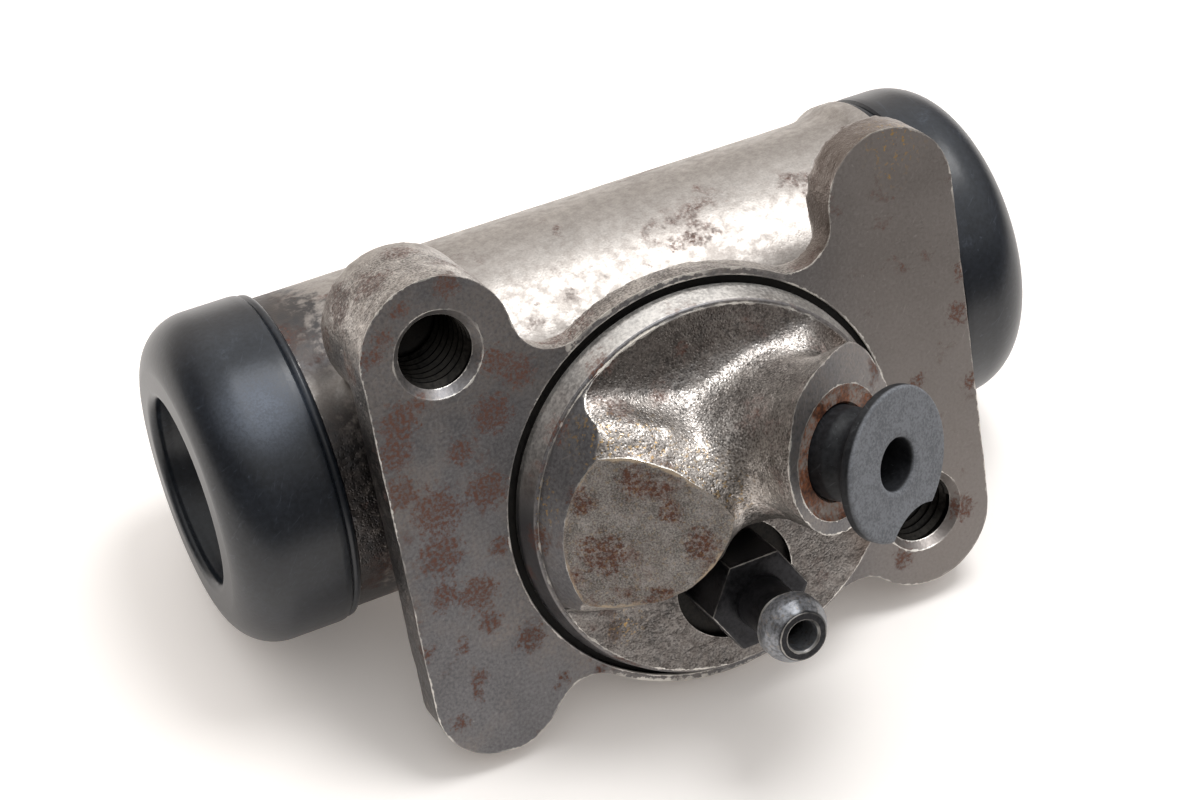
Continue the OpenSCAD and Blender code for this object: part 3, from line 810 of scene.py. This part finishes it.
def add_blind_boss(bm):
    """Adds the closed boss on the left, from its uneven root on the field to its flat end."""
    place = out_of_face(BLIND_X, BLIND_Z, -BOSS_TILT)
    root = [Vector((x, -FIELD, z)) * MM for x, z in BLIND_ROOT]
    end = [place @ (Vector((a, up, BLIND_REACH)) * MM) for a, up in BLIND_END]
    rings = [[p + Vector((0, FIELD * MM, 0)) for p in root], root]
    for forward, inward in ((0.12, 0.26), (0.66, 0.5)):
        pairs = zip(root, end)
        moves = [((q.x - p.x) * inward, (q.y - p.y) * forward, (q.z - p.z) * inward) for p, q in pairs]
        rings.append([p + Vector(move) for p, move in zip(root, moves)])
    beyond = place.to_3x3() @ Vector((0, 0, 0.8 * MM))
    add_loft(bm, rings + [end, [p + beyond for p in end]])


def add_inlet_boss(bm):
    """Adds the leaning boss of the inlet, narrow at its neck and flared to its face."""
    place = out_of_face(INLET_X, AXIS_UP, BOSS_TILT)
    lean = math.radians(BOSS_TILT)
    angles = range(0, 360, 5)
    root, neck, face = (
        np.interp(angles, *zip(*outline), period=360) for outline in (INLET_ROOT, INLET_NECK, INLET_FACE)
    )
    sides = [(math.cos(math.radians(a)), math.sin(math.radians(a))) for a in angles]
    start = [(r * c * math.sin(lean) + FIELD) / math.cos(lean) for r, (c, _) in zip(root, sides)]

    def ring(radii, heights):
        return [place @ (Vector((r * c, r * u, h)) * MM) for r, (c, u), h in zip(radii, sides, heights)]

    rings = [ring(root, [h - 5 for h in start]), ring(root, start)]
    rings.append(ring(neck + 0.42 * (root - neck), [h + 1.2 for h in start]))
    rings.append(ring(neck + 0.06 * (root - neck), [h + 3.4 for h in start]))
    rings.append(ring(neck + 0.34 * (face - neck), [14.0] * len(sides)))
    rings.append(ring(face, [INLET_REACH + 0.6] * len(sides)))
    add_loft(bm, rings)


def casting_blank(s):
    """The rough casting before machining, as one skin of small cells."""
    bm = bmesh.new()
    add_flange_slice(bm, 3.0, -1.0, 3.8, 100)
    add_flange_slice(bm, 4.8, 0.5, 5.8, 100)
    for (x, z), depth in ((UPPER_BOLT, UPPER_DEPTH), (LOWER_LOBE, LOWER_DEPTH)):
        add_rod(bm, out_of_face(x, z), 1.6 - depth, 0.5, BOLT_LOBE_R, BOLT_LOBE_R)
        add_rod(bm, out_of_face(x, z), -depth, 1.6 - depth, BOLT_LOBE_R - 1.2, BOLT_LOBE_R)
    neck = Matrix.Translation((0, 14.5 * MM, AXIS_UP * MM)) @ Matrix.Diagonal((48 * MM, 27 * MM, 17 * MM, 1))
    bmesh.ops.create_cube(bm, size=1, matrix=neck)
    add_rod(bm, out_of_face(0, BLEED_Z), -17.4, 2.0, 8.4, 8.4)
    add_rod(bm, out_of_face(0, 0), -2.0, FIELD, 24.9, 24.9)
    tube = along_cylinder()
    add_rod(bm, tube, -LAND_END, LAND_END, TUBE_R, TUBE_R)
    collar = [(TUBE_R - 2, 36.2), (TUBE_R, 36.4), (TUBE_R + 1.2, 38.2)]
    collar += [(TUBE_R + 1.2, 40.8), (TUBE_R - 2, 41.5)]
    join(bm, lathe(collar, tube, 96, ring=True))
    add_inlet_boss(bm)
    add_blind_boss(bm)
    saddle = Matrix.Translation((-9.0 * MM, -1.5 * MM, 7.4 * MM)) @ Matrix.Rotation(math.pi / 2, 4, "Y")
    add_rod(bm, saddle, 0, 13.0, 6.4, 6.4)
    web = Matrix.Translation((2.1 * MM, -7.2 * MM, 5.2 * MM))
    bmesh.ops.create_uvsphere(bm, u_segments=64, v_segments=32, radius=8.0 * MM, matrix=web)
    blank = new_object("casting_blank", bm, smooth=False)
    cells = blank.modifiers.new("cells", "REMESH")
    cells.mode, cells.voxel_size = "VOXEL", s.cell
    return blank


def fill_corners(mesh, rounds, fill, wear, ball=None):
    """Fills hollow corners as a casting's fillets do, all over or in a ball, and rounds outer edges less."""
    place = points(mesh)
    count = len(place)
    ends = np.empty(len(mesh.edges) * 2, np.int32)
    mesh.edges.foreach_get("vertices", ends)
    a, b = ends.reshape(-1, 2).T
    near = np.bincount(np.r_[a, b], minlength=count)[:, None]
    held = np.ones(count)
    if ball:
        held = np.clip((ball[3] - np.linalg.norm(place / MM - ball[:3], axis=1)) / 3, 0, 1)
    for _ in range(rounds):
        out = normals(mesh)
        total = np.stack(
            [np.bincount(a, place[b, k], count) + np.bincount(b, place[a, k], count) for k in range(3)], 1,
        )
        lift = ((total / near - place) * out).sum(1)
        place += out * (np.where(lift > 0, fill, wear) * lift * held)[:, None]
        mesh.vertices.foreach_set("co", place.ravel())
        mesh.update()


def ripple(mesh, height):
    """Makes the cast skin slightly uneven, and the tube less so."""
    for v, n in zip(mesh.vertices, normals(mesh)):
        p = v.co * 1000
        swell = noise.noise(p * 0.16) + 0.55 * noise.noise(p * 0.42) + 0.3 * noise.noise(p * 0.95)
        calm = min(max((p.y - 8) / 5, 0), 1)
        v.co += Vector(n) * (swell * height * (1 - 0.8 * calm))
        v.co.z = min(v.co.z, CAD_BOX[1][2])


def painted(bm, finish):
    """Gives every face of a tool one finish."""
    for f in bm.faces:
        f.material_index = finish
    return bm


def facing_tool():
    """Cuts the mounting face, the relief groove, the pilot's wall and the ledge on its edge."""
    wall = corner(23.0, 3.2, 0.3, 90, 18, 3)
    profile = [(23.4, 40), (23.4, 6), (22.8, 4.3), (22.8, 3.5)] + wall + [(24.05, 0.8), (24.1, 0)]
    profile += [(GROOVE_IN, -0.1), (GROOVE_IN, -GROOVE_DEPTH), (GROOVE_OUT, -GROOVE_DEPTH)]
    profile += [(GROOVE_OUT, -0.12), (25.1, 0), (60, 0), (60, 40)]
    bm = lathe(stepped(profile, 1.2), out_of_face(0, 0), 192, ring=True)
    for f in bm.faces:
        middle = f.calc_center_median()
        radius = math.hypot(middle.x, middle.z) / MM
        if radius > GROOVE_OUT or radius < 23.3:
            f.material_index = FACED
        else:
            f.material_index = GROOVE if middle.y > 0.02 * MM else TURNED
    return bm


def flank_tool():
    """Turns the left flank of the blind boss, behind its end face."""
    bm = bmesh.new()
    profile = [(22.9, 3.6), (21.6, 6.5), (20.2, 9.6), (20.0, 16), (34, 16), (34, 3.6)]
    side = bm.faces.new([bm.verts.new((r * MM, 0, h * MM)) for r, h in stepped(profile, 1.0)])
    bmesh.ops.spin(
        bm, geom=[side], cent=(0, 0, 0), axis=(0, 0, 1), angle=math.radians(74), steps=74, use_merge=False,
    )
    bmesh.ops.recalc_face_normals(bm, faces=bm.faces)
    bm.transform(out_of_face(0, 0) @ Matrix.Rotation(math.radians(125), 4, "Z"))
    return painted(bm, FACED)


def pad_tool():
    """Cuts the flat end of the blind boss."""
    profile = [(0, BLIND_REACH), (13.2, BLIND_REACH), (13.2, 30), (0, 30)]
    return painted(lathe(stepped(profile, 1.2), out_of_face(BLIND_X, BLIND_Z, -BOSS_TILT), 72), PAD)


def inlet_tool():
    """Cuts the face, seat and port of the inlet boss."""
    profile = [(0, 5), (5.5, 5), (5.5, 18.3), (5.8, 18.7), (7.4, 18.75), (7.9, INLET_REACH)]
    profile += [(15, INLET_REACH), (15, 40), (0, 40)]
    bm = lathe(stepped(profile, 1.0), Matrix(), 96)
    for f in bm.faces:
        middle = f.calc_center_median()
        radius = math.hypot(middle.x, middle.y) / MM
        f.material_index = FACED if radius > 7.9 else SEAT if radius > 5.5 else HOLE
    bm.transform(out_of_face(INLET_X, AXIS_UP, BOSS_TILT))
    return bm


def bleeder_tool():
    """Cuts the pocket and the tapped hole of the bleeder screw."""
    profile = [(0, -14), (5, -12), (5, 2.5), (5.3, 2.8), (7.55, 2.8), (7.55, 30), (0, 30)]
    return painted(lathe(stepped(profile, 1.2), out_of_face(0, BLEED_Z), 96), HOLE)


def bolt_tool(bolt, depth):
    """Cuts a bolt hole to its thread's outer size, with a chamfered mouth and a drilled end."""
    profile = [(0, -depth - 0.4), (4.2, -depth + 1.0), (5, -depth + 1.0), (5, -1.5), (4.4, -1.1)]
    profile += [(5.2, -0.12), (5.3, 0), (5.3, 4), (0, 4)]
    bm = lathe(stepped(profile, 1.2), Matrix(), 64)
    for f in bm.faces:
        f.material_index = FACED if f.calc_center_median().z > -1.1 * MM else HOLE
    bm.transform(out_of_face(*bolt))
    return bm


def bore_tool():
    """Cuts the bore from end to end, with a chamfer at each mouth."""
    half = [(BORE_R, LAND_END - 1), (BORE_R + 2, LAND_END + 1), (BORE_R + 2, 60), (0, 60)]
    profile = [(r, -h) for r, h in reversed(half)] + half
    return painted(lathe(stepped(profile, 2.0), along_cylinder(), 96), HOLE)


def land_tool(side):
    """Turns the land that a boot sits on, with the groove for the boot's bead."""
    profile = [(LAND_R, 50), (LAND_R, 43.0), (17.2, 43.0), (17.2, 41.4), (LAND_R, 41.4)]
    profile += [(LAND_R, TUBE_HALF), (30, TUBE_HALF), (30, 50)]
    place = along_cylinder() if side > 0 else mirrored(along_cylinder())
    return painted(lathe(stepped(profile, 1.5), place, 128, ring=True), TURNED)


def mark_edges(mesh, cast=True):
    """Keeps each point's distance to the nearest machined edge on the mesh, in millimetres."""
    bm = bmesh.new()
    bm.from_mesh(mesh)
    rim = set()
    for e in bm.edges:
        if len(e.link_faces) == 2:
            f, g = e.link_faces
            cut = not cast or f.material_index != SKIN or g.material_index != SKIN
            if cut and f.normal.angle(g.normal, 0) > 0.45:
                rim.update(e.verts)
    tree = kdtree.KDTree(len(rim))
    for i, v in enumerate(rim):
        tree.insert(v.co, i)
    tree.balance()
    gaps = [min(tree.find(v.co)[2] * 1000, 9.0) for v in bm.verts]
    bm.free()
    mesh.attributes.new("edge_gap", "FLOAT", "POINT").data.foreach_set("value", gaps)


def mark_spots(mesh, name, spots):
    """Keeps on the mesh how near each point is to the middle of a spot, from nothing to one."""
    place = points(mesh) / MM
    level = np.zeros(len(place))
    for x, y, z, radius in spots:
        level = np.maximum(level, 1 - np.linalg.norm(place - (x, y, z), axis=1) / radius)
    mesh.attributes.new(name, "FLOAT", "POINT").data.foreach_set("value", level)


def thread_coil(bolt, depth):
    """A tapped thread as one coiled ridge on the wall of its hole."""
    pitch, steps = 1.5, 40
    turns = depth / pitch - 2.4
    bm = bmesh.new()
    ridge = ((5.06, -0.68), (4.3, -0.14), (4.3, 0.14), (5.06, 0.68))
    profile = bm.faces.new([bm.verts.new((r * MM, 0, h * MM)) for r, h in ridge])
    bmesh.ops.spin(
        bm, geom=[profile], cent=(0, 0, 0), axis=(0, 0, 1), dvec=(0, 0, -pitch * MM / steps),
        angle=2 * math.pi * turns, steps=int(steps * turns), use_merge=False,
    )
    bmesh.ops.recalc_face_normals(bm, faces=bm.faces)
    bm.transform(out_of_face(*bolt) @ Matrix.Translation((0, 0, -2.1 * MM)))
    return bm


class WHEELCYL_OT_casting(bpy.types.Operator):
    """Moulds the casting, then cuts its machined faces and holes"""

    bl_idname = "wheelcyl.casting"
    bl_label = "Casting"

    def execute(self, context):
        s = context.scene.wheelcyl_casting
        blank = casting_blank(s)
        mesh = settled(blank)
        fill_corners(mesh, rounds=30, fill=0.5, wear=0.005)
        fill_corners(mesh, rounds=90, fill=0.5, wear=0.0, ball=VALLEY)
        ripple(mesh, s.ripple)
        # The hole, groove and thread finishes are near black, which is painted shade
        finishes = [
            cast_skin_material(s), faced_material(s), turned_material(s),
            toned_material("hole_shade", HOLE_SHADE_TONES, (0.34, 0.52), Metallic=0.75),
            toned_material("groove_shade", GROOVE_SHADE_TONES, (0.55, 0.75), **{"Specular IOR Level": 0.3}),
            seat_material(s), pad_material(s),
        ]
        blank.modifiers.clear()
        blank.data = mesh
        mesh.materials.clear()
        for finish in finishes:
            mesh.materials.append(finish)
        mesh.polygons.foreach_set("material_index", [SKIN] * len(mesh.polygons))
        tools = [facing_tool(), flank_tool(), pad_tool(), inlet_tool(), bleeder_tool()]
        tools += [bolt_tool(UPPER_BOLT, UPPER_DEPTH - 1), bolt_tool(LOWER_BOLT, LOWER_DEPTH - 1)]
        tools += [bore_tool(), land_tool(1), land_tool(-1)]
        cutters = [new_object(f"tool_{i}", bm, finishes) for i, bm in enumerate(tools)]
        bm = cut_with(blank, cutters)
        bmesh.ops.remove_doubles(bm, verts=bm.verts, dist=0.03 * MM)
        bmesh.ops.dissolve_degenerate(bm, edges=bm.edges, dist=0.01 * MM)
        casting = new_object("casting", bm, finishes)
        mark_edges(casting.data)
        mark_spots(casting.data, "rust_spots", RUST_SPOTS)
        mark_spots(casting.data, "grit_spots", GRIT_SPOTS)
        dress(casting, "cylinder", "cast_body", "cylinder_body")
        # Near-black thread: painted shade in the tapped holes
        thread = toned_material("tapped_thread", THREAD_SHADE_TONES, (0.3, 0.45), Metallic=0.85)
        coils = {
            "upper_thread": thread_coil(UPPER_BOLT, UPPER_DEPTH),
            "lower_thread": thread_coil(LOWER_BOLT, LOWER_DEPTH),
        }
        for name, coil in coils.items():
            dress(new_object(name, coil, [thread]), "cylinder", "cast_body")
        return {"FINISHED"}


# Rubber parts


def boot_profile(length):
    """Half section of a boot: outside from its lip to its mouth, then inside back to the lip."""
    end = TUBE_HALF + length
    out = [(18.35, TUBE_HALF), (19.7, TUBE_HALF)] + corner(19.9, 40.9, 0.55, -60, 60, 4) + [(20.35, 41.45)]
    out += [(20.62, 41.7), (20.7, 42.3), (20.7, end - 6.4)] + corner(14.3, end - 6.4, 6.4, 0, 80, 14)
    out += corner(12.6, end - 0.9, 0.9, 80, 200, 6)
    funnel = [(11.5, end - 2.4), (10.2, end - 6.6)] + corner(10.9, end - 6.6, 0.7, 180, 300, 4)
    funnel += [(12.6, end - 4.6)]
    inside = corner(14.3, end - 6.4, 4.1, 75, 0, 6) + [(18.4, 44.0), (18.2, 44.0), (18.2, 42.75)]
    inside += [(17.3, 42.75), (17.3, 41.65), (18.2, 41.65), (18.2, 40.4)]
    return out + funnel + inside


class WHEELCYL_OT_boots(bpy.types.Operator):
    """Moulds the two rubber boots"""

    bl_idname = "wheelcyl.boots"
    bl_label = "Boots"

    def execute(self, context):
        s = context.scene.wheelcyl_rubber

        # A scuff on the left boot that also serves as a painted highlight
        def scuff_and_highlight(tree):
            return times(near_place(tree, BOOT_SCUFF_AND_HIGHLIGHT, 7.5), 0.75)

        rubber = rubber_material("boot_rubber", s.boot_dark, s.boot_scuff_and_highlight, 0.34, 0.33, scuff_and_highlight)
        right = along_cylinder()
        for name, length, place in (("left_boot", 14.4, mirrored(right)), ("right_boot", 12.2, right)):
            bm = lathe(stepped(boot_profile(length), 1.6), place, 144, ring=True)
            boot = new_object(f"{name}_rubber", bm, [rubber])
            dress(boot, "cylinder", "boot_rubber", name)
        return {"FINISHED"}


class WHEELCYL_OT_plug(bpy.types.Operator):
    """Moulds the plug that closes the inlet port"""

    bl_idname = "wheelcyl.plug"
    bl_label = "Inlet plug"

    def execute(self, context):
        s = context.scene.wheelcyl_rubber
        place = out_of_face(INLET_X, AXIS_UP, BOSS_TILT)
        back = INLET_REACH + 4.9
        front = back + 3.0
        profile = [(0, 10), (5.2, 10), (5.45, 10.3), (5.45, 20.4)] + corner(6.2, 22.0, 1.4, 220, 150, 4)
        profile += [(5.3, back - 0.5), (5.9, back + 0.1), (7.0, back + 0.9), (8.5, back + 1.5)]
        profile += corner(8.6, back + 1.9, 0.4, -70, 0, 3) + corner(8.6, front - 0.4, 0.4, 0, 90, 4)
        profile += [(3.6, front), (3.2, front - 0.15), (3.0, front - 0.5), (2.8, INLET_REACH + 1.0)]
        profile += [(0, INLET_REACH)]
        bm = lathe(stepped(profile, 1.0), place, 96)
        plug = new_object("plug_rubber", bm)
        scoop = bmesh.new()
        add_rod(scoop, place @ Matrix.Translation((2.2 * MM, -13.5 * MM, 0)), back - 0.2, front + 1, 7.0, 7.0)
        bm = cut_with(plug, [new_object("scoop", scoop)])
        lean = math.radians(BOSS_TILT)

        def face_dust(tree):
            along = dot(millimetres(tree), (math.sin(lean), -math.cos(lean), 0))
            reach = INLET_X * math.sin(lean) + front
            return times(mapped(along, reach - 0.5, reach - 0.1), 0.8)

        rubber = rubber_material("plug_rubber", s.plug_dark, s.plug_pale, 0.2, 0.5, face_dust, 0.2)
        plug = new_object("plug", bm, [rubber])
        dress(plug, "plug", "plug_rubber", "inlet_plug")
        return {"FINISHED"}


# Bleeder screw and the parts in the bore


class WHEELCYL_OT_bleeder(bpy.types.Operator):
    """Turns the bleeder screw with its hexagon and hose nipple"""

    bl_idname = "wheelcyl.bleeder"
    bl_label = "Bleeder screw"

    def execute(self, context):
        s = context.scene.wheelcyl_casting
        place = out_of_face(0, BLEED_Z)
        end = HEX_FRONT + 10.6
        black = black_metal_material(s)
        profile = [(0, -13.9), (1.7, -13.9), (4.9, -12), (4.9, HEX_BACK + 1), (3.3, HEX_BACK + 1.2)]
        profile += [(3.3, HEX_FRONT + 0.2)] + corner(3.9, HEX_FRONT + 0.7, 0.7, 200, 180, 2)
        profile += [(3.2, end - 5.6)]
        profile += corner(3.6, end - 4.5, 0.5, 230, 150, 3) + corner(3.3, end - 3.5, 0.8, 0, 20, 2)
        profile += [(4.1, end - 2.4), (3.95, end - 1.7), (3.05, end - 0.15), (2.9, end), (2.1, end)]
        profile += [(1.9, end - 0.25), (1.9, -5), (0, -5.5)]
        screw = lathe(stepped(profile, 0.6, 0.2), place, 64)
        shank = new_object("bleeder_nipple", screw, [black])
        mark_edges(shank.data, cast=False)
        bm = bmesh.new()
        radius = HEX_FLATS / math.sqrt(3) * MM
        middle = Matrix.Translation((0, 0, (HEX_FRONT + HEX_BACK) / 2 * MM))
        bmesh.ops.create_cone(
            bm, cap_ends=True, segments=6, radius1=radius, radius2=radius, depth=(HEX_FRONT - HEX_BACK) * MM,
            matrix=place @ middle @ Matrix.Rotation(math.pi / 2, 4, "Z"),
        )
        bmesh.ops.bevel(
            bm, geom=bm.edges[:], offset=0.28 * MM, offset_type="OFFSET", affect="EDGES", segments=2,
            profile=0.5, material=-1, clamp_overlap=True,
        )
        flats = [f for f in bm.faces if f.calc_area() > 8 * MM * MM]
        bmesh.ops.inset_individual(bm, faces=flats, thickness=0.45 * MM, use_even_offset=True)
        nut = new_object("bleeder_hexagon", bm, [black])
        mark_edges(nut.data, cast=False)
        dress(shank, "bleeder", "bleeder_black", "bleeder_screw")
        dress(nut, "bleeder", "bleeder_black", "bleeder_screw")
        return {"FINISHED"}


def spring_half(name, side, finish):
    """Half of the return spring, on one side of its middle."""
    bm = bmesh.new()
    bm.from_mesh(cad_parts["return_spring"].data)
    bmesh.ops.remove_doubles(bm, verts=bm.verts, dist=0.01 * MM)
    whole = bm.verts[:] + bm.edges[:] + bm.faces[:]
    bmesh.ops.bisect_plane(bm, geom=whole, plane_co=(0, 0, 0), plane_no=(-side, 0, 0), clear_outer=True)
    bmesh.ops.edgeloop_fill(bm, edges=[e for e in bm.edges if e.is_boundary])
    half = new_object(f"{name}_spring_half", bm, [finish])
    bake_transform(half)
    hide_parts("return_spring")


class WHEELCYL_OT_inside(bpy.types.Operator):
    """Gives the pistons, cups, expanders and spring in the bore their finishes"""

    bl_idname = "wheelcyl.inside"
    bl_label = "Parts in the bore"

    def execute(self, context):
        finishes = {
            "piston": bare_metal_material("piston_aluminium", PISTON_TONES, 0.3),
            "cup": rubber_material("cup_rubber", *CUP_TONES, 0.3, 0.4),
            "expander": bare_metal_material("expander_steel", EXPANDER_TONES, 0.3),
        }
        wire = bare_metal_material("spring_steel", SPRING_TONES, 0.28)
        spring_half("left", -1, wire)
        spring_half("right", 1, wire)
        for name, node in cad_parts.items():
            kind = name.split("_")[-1]
            if kind in finishes:
                node.data.materials.clear()
                node.data.materials.append(finishes[kind])
        return {"FINISHED"}


# Stage

CAMERA_PLACE = (-110.0705, -274.4874, 148.986)
CAMERA_AXES = (
    (0.898262, -0.406129, -0.167881),
    (0.313586, 0.324728, 0.892309),
    (-0.307877, -0.854173, 0.419047),
)
SENSOR = 36
FLOOR_TILT, FLOOR_DROP = 22.3, 25.75

# The floor glows more away from the object's foot; the weaker glow near the foot is a painted shadow, and the
# glow's warm tint paints warm light into the shadows
FOOT, GLOW_REACH = (0, 21.8, -23.8), 75.0
GLOW, GLOW_NEAR, GLOW_FAR = (1, 0.92, 0.86), 0.15, 0.34

# The floor, and the lamp's place from the object's middle, in metres; its power is in watts
FLOOR_HALF, FLOOR_BACK = 0.32, 0.17
MIDDLE = (0, 0.012, 0)
KEY_UP, KEY_BACK, KEY_ACROSS = 0.62, 0.06, 0.2
KEY_SIZE, KEY_POWER = 0.3, 2.4

# Lean of the brightest part of the sky, and the tint of its lower part
SKY_BACK, SKY_ACROSS = 0.08, 0.25
WARM, WHITE = (1, 0.92, 0.85), (1, 1, 1)


def floor_material(s):
    """White floor that keeps the object's shadow and is clear from below; its glow is weaker near the
    object's foot, a painted shadow.
    """
    material = bpy.data.materials.new("white_floor")
    material.use_nodes = True
    tree = material.node_tree
    tree.nodes.clear()
    rays = add(tree, "ShaderNodeLightPath").outputs
    bent = larger(rays["Is Glossy Ray"], rays["Is Transmission Ray"])
    seen = larger(rays["Is Camera Ray"], bent)
    paint = add(tree, "ShaderNodeBsdfDiffuse", {"Color": opaque(s.floor)}).outputs[0]
    near = near_place(tree, FOOT, GLOW_REACH)
    # Painted shadow: the glow is weaker near the object's foot
    strength = times(seen, mapped(near, 0.0, 0.4, GLOW_FAR, GLOW_NEAR))
    glow = add(tree, "ShaderNodeEmission", {"Color": opaque(GLOW), "Strength": strength}).outputs[0]
    lit = add(tree, "ShaderNodeAddShader", {0: paint, 1: glow}).outputs[0]
    clear = add(tree, "ShaderNodeBsdfTransparent").outputs[0]
    back = add(tree, "ShaderNodeNewGeometry").outputs["Backfacing"]
    shader = add(tree, "ShaderNodeMixShader", {0: back, 1: lit, 2: clear}).outputs[0]
    add(tree, "ShaderNodeOutputMaterial", {"Surface": shader})
    return material


def studio_world(up, behind):
    """Soft white light from above that falls off to the front, seen by the camera as white."""
    world = bpy.data.worlds.new("studio")
    world.use_nodes = True
    tree = world.node_tree
    tree.nodes.clear()
    ray = add(tree, "ShaderNodeTexCoord").outputs["Generated"]
    height = dot(ray, up)
    above = mapped(height, 0.3, 0.8)
    depth = dot(ray, behind)
    sky = plus(mapped(height, 0.3, 0.8, 0.17, 0.98), mapped(depth, 0.6, 0.95, 0.0, 0.6))
    seen = add(tree, "ShaderNodeLightPath").outputs["Is Camera Ray"]
    strength = add(tree, "ShaderNodeMix", {0: seen, 2: sky, 3: 1.0}, data_type="FLOAT").outputs[0]
    tint = mixed(larger(above, seen), WARM, WHITE)
    shader = add(tree, "ShaderNodeBackground", {"Color": tint, "Strength": strength}).outputs[0]
    add(tree, "ShaderNodeOutputWorld", {"Surface": shader})
    return world


def soft_lamp(name, place, target, size, power):
    lamp = bpy.data.lights.new(name, "AREA")
    lamp.shape, lamp.size, lamp.energy = "DISK", size, power
    obj = bpy.data.objects.new(name, lamp)
    obj.location = place
    obj.rotation_euler = (Vector(target) - Vector(place)).to_track_quat("-Z", "Y").to_euler()
    bpy.context.scene.collection.objects.link(obj)


class WHEELCYL_OT_stage(bpy.types.Operator):
    """Sets the floor, the light and the camera"""

    bl_idname = "wheelcyl.stage"
    bl_label = "Stage"

    def execute(self, context):
        s = context.scene.wheelcyl_stage
        scene = context.scene
        tilt = math.radians(FLOOR_TILT)
        up = Vector((0, -math.sin(tilt), math.cos(tilt)))
        bm = bmesh.new()
        across = Vector((1, 0, 0))
        back = across.cross(-up)
        lay = Matrix.Translation(back * FLOOR_BACK - up * FLOOR_DROP * MM) @ Matrix.Rotation(tilt, 4, "X")
        bmesh.ops.create_grid(bm, x_segments=4, y_segments=4, size=FLOOR_HALF, matrix=lay)
        floor = new_object("floor", bm, [floor_material(s)])
        scene.world = studio_world((up + back * SKY_BACK + across * SKY_ACROSS).normalized(), back)
        middle = Vector(MIDDLE)
        key = middle + up * KEY_UP + back * KEY_BACK + across * KEY_ACROSS
        soft_lamp("key", key, middle, KEY_SIZE, KEY_POWER)
        camera = bpy.data.cameras.new("camera")
        camera.lens, camera.sensor_width = s.lens, SENSOR
        camera.clip_start = 0.01
        eye = bpy.data.objects.new("camera", camera)
        turn = Matrix(CAMERA_AXES).transposed().to_4x4()
        eye.matrix_world = Matrix.Translation(Vector(CAMERA_PLACE) * MM) @ turn
        scene.collection.objects.link(eye)
        scene.camera = eye
        scene.view_settings.view_transform = "Standard"
        return {"FINISHED"}


# Add-on

SETTINGS = {
    "wheelcyl_casting": CastingSettings,
    "wheelcyl_rubber": RubberSettings,
    "wheelcyl_stage": StageSettings,
}
STEPS = (
    WHEELCYL_OT_stage, WHEELCYL_OT_casting, WHEELCYL_OT_boots,
    WHEELCYL_OT_plug, WHEELCYL_OT_bleeder, WHEELCYL_OT_inside,
)


class WHEELCYL_PT_panel(bpy.types.Panel):
    """Lists the steps that build the wheel cylinder"""

    bl_label = "Wheel Cylinder"
    bl_idname = "WHEELCYL_PT_panel"
    bl_space_type = "VIEW_3D"
    bl_region_type = "UI"
    bl_category = "Wheel Cylinder"

    def draw(self, context):
        for step in STEPS:
            self.layout.operator(step.bl_idname)
        for name, kind in SETTINGS.items():
            box = self.layout.box()
            for prop in kind.__annotations__:
                box.prop(getattr(context.scene, name), prop)


def register():
    for kind in (*SETTINGS.values(), *STEPS, WHEELCYL_PT_panel):
        bpy.utils.register_class(kind)
    for name, kind in SETTINGS.items():
        setattr(bpy.types.Scene, name, PointerProperty(type=kind))


def unregister():
    for name in SETTINGS:
        delattr(bpy.types.Scene, name)
    for kind in reversed((*SETTINGS.values(), *STEPS, WHEELCYL_PT_panel)):
        bpy.utils.unregister_class(kind)


def main():
    register()
    bpy.ops.wheelcyl.stage()
    bpy.ops.wheelcyl.casting()
    bpy.ops.wheelcyl.boots()
    bpy.ops.wheelcyl.plug()
    bpy.ops.wheelcyl.bleeder()
    bpy.ops.wheelcyl.inside()


if __name__ == "__main__":
    main()
